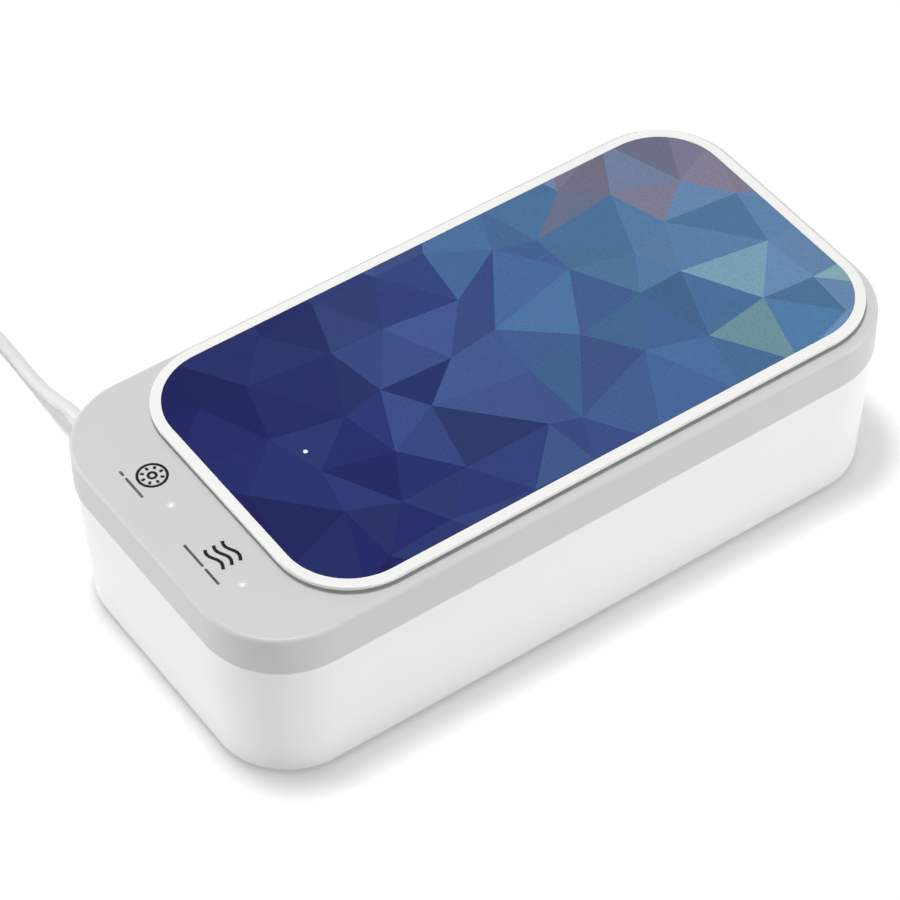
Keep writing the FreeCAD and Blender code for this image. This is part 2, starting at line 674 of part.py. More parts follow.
def bottom_cover():
    cover = base_block(BASE_BOTTOM, COVER_TOP, BASE_WALL + COVER_GAP)
    cover = fuse_all([cover] + [post(STANDOFF_RADIUS, COVER_TOP, BOARD_BOTTOM, x, y)
                                for x, y in standoff_points()])
    cuts = [post(FOOT_RADIUS + COVER_GAP, BASE_BOTTOM, BASE_BOTTOM + FOOT_SOCKET, x, y)
            for x, y in foot_points()]
    for x, y in case_post_points():
        cuts.append(post(CASE_SCREW_RADIUS + COVER_GAP, BASE_BOTTOM, COVER_TOP, x, y))
        cuts.append(Part.makeCone(CASE_SCREW_HEAD + PIN_RUN, CASE_SCREW_RADIUS + PIN_RUN,
                                  CASE_SCREW_SINK, Vector(x, y, BASE_BOTTOM)))
    for x, y in standoff_points():
        low = BOARD_TOP - BOARD_SCREW_LENGTH
        cuts.append(post(BOARD_SCREW_RADIUS + PIN_PRESS, low, BOARD_BOTTOM, x, y))
    for index in range(VENT_COUNT):
        y = (index - (VENT_COUNT - 1) / 2) * VENT_PITCH
        cuts.append(slab(VENT_LENGTH, VENT_WIDTH, VENT_WIDTH * OVAL_SHARE,
                         BASE_BOTTOM, COVER_TOP, bay_x(), y))
    return cover.cut(cuts)


def case_screws():
    return [sunk_screw(CASE_SCREW_RADIUS, CASE_SCREW_LENGTH, CASE_SCREW_HEAD, CASE_SCREW_SINK,
                       x, y, BASE_BOTTOM) for x, y in case_post_points()]


def feet():
    shapes = []
    for x, y in foot_points():
        foot = post(FOOT_RADIUS, 0, BASE_BOTTOM + FOOT_SOCKET, x, y)
        shapes.append(foot.makeFillet(FOOT_EDGE, edges_at(foot, 0)))
    return shapes


def tank():
    outer = tank_slab(TANK_BOTTOM, FLANGE_TOP, TANK_WALL)
    outer = outer.makeFillet(TANK_BOTTOM_EDGE + TANK_WALL, edges_at(outer, TANK_BOTTOM))
    inner = tank_slab(TANK_BOTTOM + TANK_WALL, FLANGE_TOP, 0)
    inner = inner.makeFillet(TANK_BOTTOM_EDGE, edges_at(inner, TANK_BOTTOM + TANK_WALL))
    flange = tank_slab(FLANGE_BOTTOM, FLANGE_TOP, TANK_WALL + TANK_FLANGE)
    return outer.fuse(flange).removeSplitter().cut(inner)


def tank_gasket():
    return ring(tank_slab(LEDGE_TOP, FLANGE_BOTTOM, TANK_WALL + TANK_FLANGE),
                tank_slab(LEDGE_TOP, FLANGE_BOTTOM, TANK_WALL + TANK_GAP))


def tank_bezel():
    bezel = ring(tank_slab(FLANGE_TOP, BASE_TOP, TANK_WALL + TANK_FLANGE),
                 tank_slab(FLANGE_TOP, BASE_TOP, 0))
    return bezel.makeFillet(BEZEL_EDGE, edges_at(bezel, BASE_TOP))


def piezo_disc():
    return post(PIEZO_RADIUS, TANK_BOTTOM - PIEZO_THICK, TANK_BOTTOM, TANK_X, 0)


def piezo_leads():
    """Two wires from the disc's underside to the board's right edge."""
    shapes = []
    for side in (-1, 1):
        y = side * LEAD_SPACING / 2
        start = Vector(TANK_X - PIEZO_RADIUS / 2, y, TANK_BOTTOM - PIEZO_THICK)
        low = (COVER_TOP + BOARD_BOTTOM) / 2
        edge_x = board_right() - LEAD_SPACING / 2
        points = [start, Vector(start.x, y, low), Vector(edge_x, y, low)]
        points.append(Vector(edge_x, y, BOARD_BOTTOM))
        shapes.append(tube(bent_path(points, LEAD_BEND)[0], LEAD_RADIUS))
    return shapes


def board_left():
    return -HALF_LENGTH + base_inset(BOARD_BOTTOM) + BASE_WALL + BOARD_MARGIN


def board_right():
    return TANK_LEFT - BOARD_MARGIN


def bay_x():
    """Middle of the electronics bay, along X."""
    return (board_left() + board_right()) / 2


def standoff_points():
    inset = STANDOFF_FROM_EDGE
    x_places = (board_left() + inset, board_right() - inset)
    y_places = (-BOARD_WIDTH / 2 + inset, BOARD_WIDTH / 2 - inset)
    return [(x, y) for x in x_places for y in y_places]


def board_row():
    """Y of the parts that stand behind one another on the board, between its two rows of screws."""
    places = {}
    y = -BOARD_WIDTH / 2 + 2 * STANDOFF_FROM_EDGE
    for name, depth, gap in BOARD_PARTS:
        places[name] = y + depth / 2
        y += depth + gap
    return places


def main_board():
    """Board across the bay, with a tongue under the power socket."""
    size = (board_right() - board_left(), BOARD_WIDTH, BOARD_THICK)
    board = block(size, bay_x(), 0, BOARD_BOTTOM)
    near = BOARD_WIDTH / 2
    length = socket_mouth() - SOCKET_LENGTH / 2 - near
    tongue = block((SOCKET_WIDTH, length, BOARD_THICK), SOCKET_X, near + length / 2, BOARD_BOTTOM)
    board = board.fuse(tongue).removeSplitter()
    return board.cut([post(BOARD_SCREW_RADIUS + COVER_GAP, BOARD_BOTTOM, BOARD_TOP, x, y)
                      for x, y in standoff_points()])


def board_screws():
    return [pan_screw(BOARD_SCREW_RADIUS, BOARD_SCREW_LENGTH, BOARD_SCREW_HEAD, BOARD_SCREW_HEAD_THICK,
                      x, y, BOARD_TOP, 1) for x, y in standoff_points()]


def driver_transformer():
    """Ferrite core with a wound bobbin between two flanges."""
    length, width, height = TRANSFORMER_SIZE
    flange = TRANSFORMER_FLANGE
    x = bay_x()
    y = board_row()["transformer"]
    core = block((length, TRANSFORMER_CORE, height), x, y, BOARD_TOP)
    low = block((TRANSFORMER_BOBBIN, width, flange), x, y, BOARD_TOP)
    high = block((TRANSFORMER_BOBBIN, width, flange), x, y, BOARD_TOP + height - 2 * flange)
    winding = slab(*TRANSFORMER_WINDING, flange, BOARD_TOP, BOARD_TOP + height - flange, x, y)
    return fuse_all([core, low, high, winding])


def capacitors():
    shapes = []
    for side in (-1, 1):
        can = post(CAPACITOR_RADIUS, BOARD_TOP, BOARD_TOP + CAPACITOR_HEIGHT,
                   bay_x() + side * CAPACITOR_PITCH / 2, board_row()["capacitors"])
        shapes.append(can.makeFillet(CAPACITOR_EDGE, edges_at(can, BOARD_TOP + CAPACITOR_HEIGHT)))
    return shapes


def heat_sink():
    """Upright plate with fins on its front side."""
    plate = block((SINK_LENGTH, SINK_PLATE, SINK_HEIGHT), bay_x(), board_row()["sink"], BOARD_TOP)
    fins = []
    for index in range(SINK_FINS):
        x = bay_x() + (index / (SINK_FINS - 1) - 0.5) * (SINK_LENGTH - SINK_PLATE)
        size = (SINK_FIN_THICK, SINK_FIN, SINK_HEIGHT)
        fins.append(block(size, x, board_row()["fins"], BOARD_TOP))
    return fuse_all([plate] + fins)


def power_transistor():
    return block(TRANSISTOR_SIZE, bay_x(), board_row()["transistor"], BOARD_TOP)


def connector_points():
    """Two wire connectors on the board: x, y and the height of their tops."""
    y = board_row()["connectors"]
    return [(bay_x() + side * CONNECTOR_PITCH / 2, y, BOARD_TOP + CONNECTOR_SIZE[2]) for side in (1, -1)]


def board_connectors():
    return [block(CONNECTOR_SIZE, x, y, BOARD_TOP) for x, y, top in connector_points()]


def socket_mouth():
    """Y of the socket's open end, just inside the base's back face."""
    return HALF_WIDTH - base_inset(SOCKET_Z) - SOCKET_SETBACK


def power_socket():
    """Flat oval metal shell with a contact tongue in it."""
    near = socket_mouth() - SOCKET_LENGTH
    far = socket_mouth()
    shell = bar(SOCKET_WIDTH, SOCKET_HEIGHT, SOCKET_HEIGHT * OVAL_SHARE, near, far, SOCKET_X, SOCKET_Z)
    inner_height = SOCKET_HEIGHT - 2 * SOCKET_SHELL
    hollow = bar(SOCKET_WIDTH - 2 * SOCKET_SHELL, inner_height, inner_height * OVAL_SHARE,
                 near + SOCKET_SHELL, far, SOCKET_X, SOCKET_Z)
    tongue = bar(SOCKET_TONGUE[0], SOCKET_TONGUE[1], SOCKET_TONGUE_EDGE,
                 near, near + SOCKET_TONGUE[2], SOCKET_X, SOCKET_Z)
    return shell.cut(hollow).fuse(tongue).removeSplitter()


def sensor_board():
    size = (SENSOR_BOARD_SIDE, SENSOR_BOARD_SIDE, SENSOR_BOARD_THICK)
    return block(size, MAGNET_X, MAGNET_Y, DECK_BOTTOM - SENSOR_BOARD_THICK)


def hall_sensor():
    return block(SENSOR_SIZE, MAGNET_X, MAGNET_Y, DECK_BOTTOM - SENSOR_BOARD_THICK - SENSOR_SIZE[2])


def lid_board_boss_points():
    """Bosses under the roof for the touch board and the charger board."""
    low, high = touch_board_ends()
    points = [(SYMBOL_X, low + LID_BOSS_INSET), (SYMBOL_X, high - LID_BOSS_INSET)]
    half_x = CHARGER_LENGTH / 2 - LID_BOSS_INSET
    half_y = CHARGER_WIDTH / 2 - LID_BOSS_INSET
    points += [(CHARGER_X + side_x * half_x, side_y * half_y) for side_x in (-1, 1) for side_y in (-1, 1)]
    return points


def lid_cover():
    cover = lid_slab(LID_BOTTOM, LID_TOP, 0)
    cover = cover.makeFillet(LID_TOP_EDGE, edges_at(cover, LID_TOP))
    cover = cover.makeFillet(LID_BOTTOM_EDGE, edges_at(cover, LID_BOTTOM))
    cover = cover.cut(lid_slab(LID_BOTTOM, ROOF_BOTTOM, LID_WALL))
    added = [post(LINER_BOSS, LINER_TOP, ROOF_BOTTOM, x, y) for x, y in liner_boss_points()]
    added += [post(LID_BOSS, LID_BOARD_TOP, ROOF_BOTTOM, x, y) for x, y in lid_board_boss_points()]
    added += hinge_seats(0)
    cover = fuse_all([cover] + added)
    cover = cover.cut([axle(HINGE_RADIUS + HINGE_CLEAR, left - HINGE_GAP, right + HINGE_GAP)
                       for left, right in base_knuckles()])
    cover = fuse_all([cover] + [knuckle(left, right, 1) for left, right in lid_knuckles()] + hinge_dogs())
    half = HINGE_LENGTH / 2
    cuts = [axle(PIN_RADIUS + PIN_RUN, c - half, c + half) for c in HINGE_CENTRES]
    cuts.append(axle(BUSH_RADIUS + PIN_RUN, 0, BUSH_HALF + HINGE_GAP))
    cuts.append(tube(harness_lid_path(), HARNESS_RADIUS + HARNESS_CLEAR))
    cuts.append(slab(COIL_WELL, COIL_WELL, WELL_CORNER, ROOF_BOTTOM, LID_TOP, PAD_X))
    for x, y in liner_boss_points():
        top = LINER_BOTTOM + LINER_SCREW_LENGTH
        cuts.append(post(LINER_SCREW_RADIUS + PIN_PRESS, LINER_TOP, top, x, y))
    for x, y in lid_board_boss_points():
        top = LID_BOARD_BOTTOM + LID_SCREW_LENGTH
        cuts.append(post(LID_SCREW_RADIUS + PIN_PRESS, LID_BOARD_TOP, top, x, y))
    for x, y in [(LIGHT_X, y) for y in LIGHT_Y] + [(CHARGE_LIGHT_X, 0)]:
        cuts.append(post(LIGHT_RADIUS + LIGHT_FIT, ROOF_BOTTOM, LID_TOP, x, y))
    return cover.cut(cuts)


def hinge_seats(clearance):
    """Blocks inside the lid's back wall that close the barrels' pockets."""
    shapes = []
    for left, right in hinge_stations():
        near = AXIS_Y - HINGE_RADIUS - HINGE_SEAT - clearance
        far = HALF_WIDTH - LID_WALL / 2
        high = AXIS_Z + HINGE_RADIUS + HINGE_SEAT
        length = right - left + 2 * (HINGE_SEAT + clearance)
        size = (length, far - near, high - LINER_BOTTOM)
        shapes.append(block(size, (left + right) / 2, (near + far) / 2, LINER_BOTTOM))
    return shapes


def stake_points():
    x = WINDOW_LENGTH / 2 + UV_BOARD_BORDER - STAKE_INSET
    return [(TANK_X - x, 0), (TANK_X + x, 0)]


def lid_liner():
    """White plate that closes the lid's underside, with the lamp window and the seal's groove."""
    liner = lid_slab(LINER_BOTTOM, LINER_TOP, LID_WALL + LINER_GAP)
    collar = ring(post(MAGNET_RADIUS + PIN_RUN + MAGNET_COLLAR, LINER_TOP, LINER_TOP + MAGNET_THICK,
                       MAGNET_X, MAGNET_Y),
                  post(MAGNET_RADIUS + PIN_RUN, LINER_TOP, LINER_TOP + MAGNET_THICK, MAGNET_X, MAGNET_Y))
    stakes = [post(STAKE_RADIUS, LINER_TOP, UV_BOARD_TOP + STAKE_PROUD, x, y) for x, y in stake_points()]
    liner = fuse_all([liner, collar] + stakes)
    cuts = hinge_seats(LINER_GAP)
    cuts.append(ring(tank_slab(LINER_BOTTOM, LINER_BOTTOM + SEAL_GROOVE, SEAL_FROM_TANK + SEAL_WIDTH),
                     tank_slab(LINER_BOTTOM, LINER_BOTTOM + SEAL_GROOVE, SEAL_FROM_TANK)))
    cuts.append(window_slab(LINER_BOTTOM, LINER_BOTTOM + WINDOW_THICK, WINDOW_GAP))
    cuts.append(window_slab(LINER_BOTTOM, LINER_TOP, -WINDOW_LEDGE))
    for x, y in liner_boss_points():
        cuts.append(post(LINER_SCREW_RADIUS + COVER_GAP, LINER_BOTTOM, LINER_TOP, x, y))
        cuts.append(Part.makeCone(LINER_SCREW_HEAD + PIN_RUN, LINER_SCREW_RADIUS + PIN_RUN,
                                  LINER_SCREW_SINK, Vector(x, y, LINER_BOTTOM)))
    return liner.cut(cuts)


def liner_screws():
    return [sunk_screw(LINER_SCREW_RADIUS, LINER_SCREW_LENGTH, LINER_SCREW_HEAD, LINER_SCREW_SINK,
                       x, y, LINER_BOTTOM) for x, y in liner_boss_points()]


def lid_seal():
    low = BASE_TOP + SEAL_LIFT
    high = LINER_BOTTOM + SEAL_GROOVE
    return ring(tank_slab(low, high, SEAL_FROM_TANK + SEAL_WIDTH), tank_slab(low, high, SEAL_FROM_TANK))


def uv_window():
    return window_slab(LINER_BOTTOM, LINER_BOTTOM + WINDOW_THICK, 0)


def uv_points():
    span = WINDOW_LENGTH - 2 * UV_FROM_END
    return [(TANK_X + (index / (UV_COUNT - 1) - 0.5) * span, 0) for index in range(UV_COUNT)]


def uv_reflector():
    plate = window_slab(LINER_TOP, UV_BOARD_BOTTOM, REFLECTOR_BORDER - WINDOW_LEDGE)
    hole = UV_SIDE / math.sqrt(2) + UV_HOLE_GAP
    cuts = [post(hole, LINER_TOP, UV_BOARD_BOTTOM, x, y) for x, y in uv_points()]
    cuts += [post(STAKE_RADIUS + STAKE_FIT, LINER_TOP, UV_BOARD_BOTTOM, x, y) for x, y in stake_points()]
    return plate.cut(cuts)


def uv_board():
    plate = window_slab(UV_BOARD_BOTTOM, UV_BOARD_TOP, UV_BOARD_BORDER)
    return plate.cut([post(STAKE_RADIUS + STAKE_FIT, UV_BOARD_BOTTOM, UV_BOARD_TOP, x, y)
                      for x, y in stake_points()])


def uv_leds():
    """Lamp packages under the board, each with a round lens."""
    shapes = []
    for x, y in uv_points():
        low = UV_BOARD_BOTTOM - UV_BODY
        lamp = block((UV_SIDE, UV_SIDE, UV_BODY), x, y, low)
        shapes.append(lamp.fuse(post(UV_LENS_RADIUS, low - UV_LENS, low, x, y)).removeSplitter())
    return shapes


def lid_magnet():
    return post(MAGNET_RADIUS, LINER_TOP, LINER_TOP + MAGNET_THICK, MAGNET_X, MAGNET_Y)


def touch_board_ends():
    """Y of the touch board's ends, which leave room for a boss past the pads and lights."""
    end = TOUCH_GAP + LID_BOSS + LID_BOSS_INSET
    low = min(min(SYMBOL_Y) - TOUCH_PAD_RADIUS, min(LIGHT_Y) - LIGHT_FLANGE)
    high = max(max(SYMBOL_Y) + TOUCH_PAD_RADIUS, max(LIGHT_Y) + LIGHT_FLANGE)
    return low - end, high + end


def touch_board():
    low, high = touch_board_ends()
    size = (TOUCH_BOARD_WIDTH, high - low, LID_BOARD_THICK)
    return lid_board(size, SYMBOL_X, (low + high) / 2)


def charger_board():
    return lid_board((CHARGER_LENGTH, CHARGER_WIDTH, LID_BOARD_THICK), CHARGER_X, 0)


def lid_board(size, x, y):
    """Board screwed to the roof's bosses."""
    return block(size, x, y, LID_BOARD_BOTTOM).cut(
        [post(LID_SCREW_RADIUS + STAKE_FIT, LID_BOARD_BOTTOM, LID_BOARD_TOP, a, b)
         for a, b in lid_board_boss_points()])


def lid_board_screws():
    return [pan_screw(LID_SCREW_RADIUS, LID_SCREW_LENGTH, LID_SCREW_HEAD, LID_SCREW_HEAD_THICK,
                      x, y, LID_BOARD_BOTTOM, -1) for x, y in lid_board_boss_points()]


def touch_pads():
    """Conductive discs between the touch board and the roof."""
    return [post(TOUCH_PAD_RADIUS, LID_BOARD_TOP, ROOF_BOTTOM, SYMBOL_X, y) for y in SYMBOL_Y]


def light_pipe(x, y, top):
    """Clear pin that fills its hole to the top face, held by a flange under the roof."""
    low = LID_BOARD_TOP + LED_SIZE[2] + LED_GAP
    flange = post(LIGHT_FLANGE, low, ROOF_BOTTOM, x, y)
    return flange.fuse(post(LIGHT_RADIUS, low, top, x, y)).removeSplitter()


def indicator_lights():
    return [light_pipe(LIGHT_X, y, LID_TOP) for y in LIGHT_Y]


def indicator_leds():
    return [block(LED_SIZE, LIGHT_X, y, LID_BOARD_TOP) for y in LIGHT_Y]


def charge_light():
    return light_pipe(CHARGE_LIGHT_X, 0, PAD_TOP)


def charger_parts():
    """Chips and chokes under the charger board, and the charge light's lamp on top of it."""
    low = LID_BOARD_BOTTOM - CHIP_SIZE[2]
    choke_low = LID_BOARD_BOTTOM - CHOKE_SIZE[2]
    shapes = [block(LED_SIZE, CHARGE_LIGHT_X, 0, LID_BOARD_TOP)]
    for x in (CHARGER_X - CHIP_OFFSET, CHARGER_X + CHIP_OFFSET):
        shapes.append(block(CHIP_SIZE, x, -CHIP_OFFSET, low))
        shapes.append(block(CHOKE_SIZE, x, CHIP_OFFSET / 2, choke_low))
    return shapes


def pad_frame():
    """White plate with a rim round the panel, on a smaller pedestal that leaves a gap below it."""
    plate = pad_slab(PAD_BOTTOM, PAD_TOP, 0)
    plate = plate.makeFillet(PAD_TOP_EDGE, edges_at(plate, PAD_TOP))
    plate = plate.makeFillet(PAD_LOW_EDGE, edges_at(plate, PAD_BOTTOM))
    plate = plate.cut(pad_slab(PANEL_BOTTOM, PAD_TOP, PAD_RIM))
    pedestal = ring(pad_slab(LID_TOP, PAD_BOTTOM, PEDESTAL_INSET),
                    pad_slab(LID_TOP, PAD_BOTTOM, PEDESTAL_INSET + PEDESTAL_WALL))
    hole = post(LIGHT_RADIUS + LIGHT_FIT, PAD_BOTTOM, PANEL_BOTTOM, CHARGE_LIGHT_X, 0)
    return plate.fuse(pedestal).removeSplitter().cut(hole)


def pad_panel():
    panel = pad_slab(PANEL_BOTTOM, PAD_TOP, PAD_RIM + PANEL_GAP)
    return panel.cut(post(LIGHT_RADIUS + LIGHT_FIT, PANEL_BOTTOM, PAD_TOP, CHARGE_LIGHT_X, 0))


def charging_coil():
    low = PAD_BOTTOM - COIL_THICK
    return ring(post(COIL_OUTER, low, PAD_BOTTOM, PAD_X, 0), post(COIL_INNER, low, PAD_BOTTOM, PAD_X, 0))


def ferrite_plate():
    low = PAD_BOTTOM - COIL_THICK - FERRITE_THICK
    return slab(FERRITE_SIDE, FERRITE_SIDE, WELL_CORNER / 2, low, low + FERRITE_THICK, PAD_X)


def plug_face():
    """Y of the near plug's front face, just outside the base."""
    return HALF_WIDTH - base_inset(SOCKET_Z) + PLUG_STANDOFF


def relief(start_radius, start, end, x, z):
    """Tapered strain relief along Y that ends a little thicker than the cord."""
    length = abs(end - start)
    way = Vector(0, math.copysign(1, end - start), 0)
    return Part.makeCone(start_radius, CORD_RADIUS + RELIEF_LIP, length, Vector(x, start, z), way)


def power_plug():
    """Moulded grip of the near plug with its strain relief."""
    width, height, length = PLUG_BODY
    near = plug_face()
    grip = bar(width, height, PLUG_CORNER, near, near + length, SOCKET_X, SOCKET_Z)
    tail = relief(RELIEF_START, near + length, near + length + RELIEF_LENGTH, SOCKET_X, SOCKET_Z)
    return grip.fuse(tail).removeSplitter()


def power_plug_shell():
    """Flat oval metal sleeve that reaches from the grip into the socket, round its tongue."""
    fit = SOCKET_SHELL + PLUG_FIT
    height = SOCKET_HEIGHT - 2 * fit
    width = SOCKET_WIDTH - 2 * fit
    far = plug_face()
    near = far - PLUG_SHELL_LENGTH
    sleeve = bar(width, height, height * OVAL_SHARE, near, far, SOCKET_X, SOCKET_Z)
    inner = height - 2 * PLUG_SHELL
    return sleeve.cut(bar(width - 2 * PLUG_SHELL, inner, inner * OVAL_SHARE, near, far, SOCKET_X, SOCKET_Z))


def coil_start():
    """Where the coil begins: one cord diameter before its outermost turn, heading along +Y."""
    return Vector(COIL_CENTRE[0] + COIL_OUTER_BEND, COIL_CENTRE[1] - CORD_DIAMETER, COIL_HIGH)


def cord_lead():
    """The cord from the near plug, down to the table and up onto the coil."""
    exit_y = plug_face() + PLUG_BODY[2] + RELIEF_LENGTH
    exit_point = Vector(SOCKET_X, exit_y, SOCKET_Z)
    straight = Vector(0, CORD_STRAIGHT, 0)
    middle = [Vector(*p) for p in CORD_ROUTE]
    points = [exit_point, exit_point + straight] + middle + [coil_start() - straight, coil_start()]
    edges, radii = bent_path(points)
    shape = tube(edges, CORD_RADIUS)
    length = Part.Wire(edges).Length
    print("cord lead radii", [round(r, 1) for r in radii], "length", round(length, 1))
    section = math.pi * CORD_RADIUS ** 2
    print("cord lead volume / (section x length)", shape.Volume / (section * length))
    return shape


def arc_along(start, heading, end):
    """Arc that leaves a point along a heading and reaches another point."""
    chord = end - start
    angle = heading.getAngle(chord)
    rise = chord.Length / 2 * math.tan(angle / 2)
    across = unit(heading - unit(chord) * heading.dot(unit(chord)))
    return Part.Arc(start, start + chord * 0.5 + across * rise, end).toShape()


def coil_edges():
    """Half turns that spiral in on the upper layer, drop a layer and spiral out again below."""
    here = coil_start() + Vector(0, CORD_DIAMETER, 0)
    edges = [Part.LineSegment(coil_start(), here).toShape()]
    step = CORD_PITCH / 2
    for turn in range(2 * COIL_HALF_TURNS + 1):
        side = 1 if turn % 2 == 0 else -1
        radius = COIL_INNER_BEND + abs(turn - COIL_HALF_TURNS) * step
        if turn == COIL_HALF_TURNS:
            half_drop = Vector(0, 0, -CORD_PITCH / 2)
            bulge = math.hypot(radius, CORD_PITCH / 2)
            middle = here + Vector(-side * radius, side * bulge, 0) + half_drop
            end = here + Vector(-2 * side * radius, 0, 0) + half_drop * 2
            edges.append(arc_along(here, Vector(0, side, 0), middle))
            second = arc_along(end, Vector(0, side, 0), middle)
            edges.append(Part.Arc(middle, second.valueAt(
                (second.FirstParameter + second.LastParameter) / 2), end).toShape())
        else:
            end = here + Vector(-2 * side * radius, 0, 0)
            middle = here + Vector(-side * radius, side * radius, 0)
            edges.append(Part.Arc(here, middle, end).toShape())
        here = end
    edges.append(Part.LineSegment(here, here + Vector(0, -CORD_DIAMETER, 0)).toShape())
    return edges


def coil_end():
    """Where the coil's tube ends, heading along -Y."""
    return coil_edges()[-1].Vertexes[-1].Point


def least_gap(path, spacing=1.0):
    """Least clear distance of the tube to itself, on points along its middle line."""
    points = path.discretize(Distance=spacing)
    apart = int(2 * CORD_DIAMETER / spacing)
    nearest = min((a - b).Length for i, a in enumerate(points) for b in points[i + apart:])
    return nearest - CORD_DIAMETER


def cord_coil():
    edges = coil_edges()
    path = Part.Wire(edges)
    print("cord coil length", round(path.Length, 1), "least gap to itself", round(least_gap(path), 2))
    shape = tube(edges, CORD_RADIUS)
    section = math.pi * CORD_RADIUS ** 2
    print("cord coil volume / (section x length)", shape.Volume / (section * path.Length))
    return shape


def cord_tie():
    """Strap loop round the coil's turns on the side away from the box."""
    near = COIL_CENTRE[1] + COIL_INNER_BEND + CORD_PITCH / 2 - CORD_RADIUS - TIE_SLACK
    far = COIL_CENTRE[1] + COIL_OUTER_BEND + CORD_RADIUS + TIE_CLEAR
    low = COIL_LOW - CORD_RADIUS - TIE_CLEAR
    high = COIL_HIGH + CORD_RADIUS + TIE_CLEAR
    thick = TIE_THICK
    outer = slab(high - low + 2 * thick, far - near + 2 * thick, 2 * thick, 0, TIE_WIDTH)
    strap = outer.cut(slab(high - low, far - near, thick, 0, TIE_WIDTH))
    strap.rotate(Vector(0, 0, 0), Vector(0, 1, 0), 90)
    middle_x = COIL_CENTRE[0] - CORD_PITCH / 2
    strap.translate(Vector(middle_x - TIE_WIDTH / 2, (near + far) / 2, (low + high) / 2))
    return strap


def usb_plug():
    """Moulded grip of the far plug, flat on the table, with its strain relief."""
    end = coil_end()
    grip_far = end.y - USB_RELIEF_LENGTH
    tail = relief(USB_RELIEF_END, grip_far, end.y, end.x, end.z)
    grip_near = grip_far - USB_BODY_LENGTH
    grip = bar(USB_BODY_WIDTH, 2 * end.z, USB_BODY_CORNER, grip_near, grip_far, end.x, end.z)
    return grip.fuse(tail).removeSplitter()


def usb_plug_shell():
    """Metal mouth of the far plug with its contact tongue."""
    end = coil_end()
    far = end.y - USB_RELIEF_LENGTH - USB_BODY_LENGTH
    near = far - USB_SHELL_LENGTH
    wall = USB_SHELL_WALL
    shell = bar(USB_SHELL_WIDTH, USB_SHELL_HEIGHT, USB_SHELL_CORNER, near, far, end.x, end.z)
    hollow = bar(USB_SHELL_WIDTH - 2 * wall, USB_SHELL_HEIGHT - 2 * wall, USB_SHELL_CORNER - wall,
                 near, far - wall, end.x, end.z)
    width, height, length = USB_TONGUE
    tongue_z = end.z + USB_SHELL_HEIGHT / 2 - wall - height / 2
    tongue = bar(width, height, USB_TONGUE_EDGE, far - length, far, end.x, tongue_z)
    return shell.cut(hollow).fuse(tongue).removeSplitter()


PIECES = {
    "base_shell": base_shell, "bottom_cover": bottom_cover, "case_screws": case_screws, "feet": feet,
    "tank": tank, "tank_gasket": tank_gasket, "tank_bezel": tank_bezel, "piezo_disc": piezo_disc,
    "piezo_leads": piezo_leads, "main_board": main_board, "board_screws": board_screws,
    "driver_transformer": driver_transformer, "capacitors": capacitors, "heat_sink": heat_sink,
    "power_transistor": power_transistor, "board_connectors": board_connectors,
    "power_socket": power_socket, "sensor_board": sensor_board, "hall_sensor": hall_sensor,
    "hinge_pin_left": lambda: hinge_pin(HINGE_CENTRES[0]),
    "hinge_pin_right": lambda: hinge_pin(HINGE_CENTRES[1]),
    "hinge_bush": hinge_bush,
    "harness_base": lambda: tube(harness_base_path(), HARNESS_RADIUS),
    "harness_lid": lambda: tube(harness_lid_path(), HARNESS_RADIUS),
    "lid_cover": lid_cover, "lid_liner": lid_liner, "liner_screws": liner_screws, "lid_seal": lid_seal,
    "uv_window": uv_window, "uv_reflector": uv_reflector, "uv_board": uv_board, "uv_leds": uv_leds,
    "lid_magnet": lid_magnet, "touch_board": touch_board, "touch_pads": touch_pads,
    "indicator_lights": indicator_lights, "indicator_leds": indicator_leds,
    "charger_board": charger_board, "charger_parts": charger_parts,
    "lid_board_screws": lid_board_screws, "charge_light": charge_light, "pad_frame": pad_frame,
    "pad_panel": pad_panel, "charging_coil": charging_coil, "ferrite_plate": ferrite_plate,
    "power_plug": power_plug, "power_plug_shell": power_plug_shell, "cord_lead": cord_lead,
    "cord_coil": cord_coil, "cord_tie": cord_tie, "usb_plug": usb_plug, "usb_plug_shell": usb_plug_shell,
}


def main():
    os.makedirs("parts", exist_ok=True)
    for name, make in PIECES.items():
        made = make()
        shape = Part.makeCompound(made) if isinstance(made, list) else made
        shape = shape.translated(FOOTPRINT_SHIFT)
        if not shape.isValid() or shape.Volume <= 0:
            raise RuntimeError(name + " is not a sound solid")
        print(name, len(shape.Solids), round(shape.Volume, 1))
        shape.exportStep(os.path.join("parts", name + ".step"))


main()
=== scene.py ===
"""Looks of the sanitizer box: finishes for its solids, the printed panel, the touch symbols, the cord
with its plugs, and the white studio that it stands in. Metres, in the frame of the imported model."""

import math
import random

import bmesh
import bpy
from bpy.props import FloatProperty, FloatVectorProperty, IntProperty, PointerProperty
from mathutils import Matrix, Vector
from mathutils.geometry import delaunay_2d_cdt


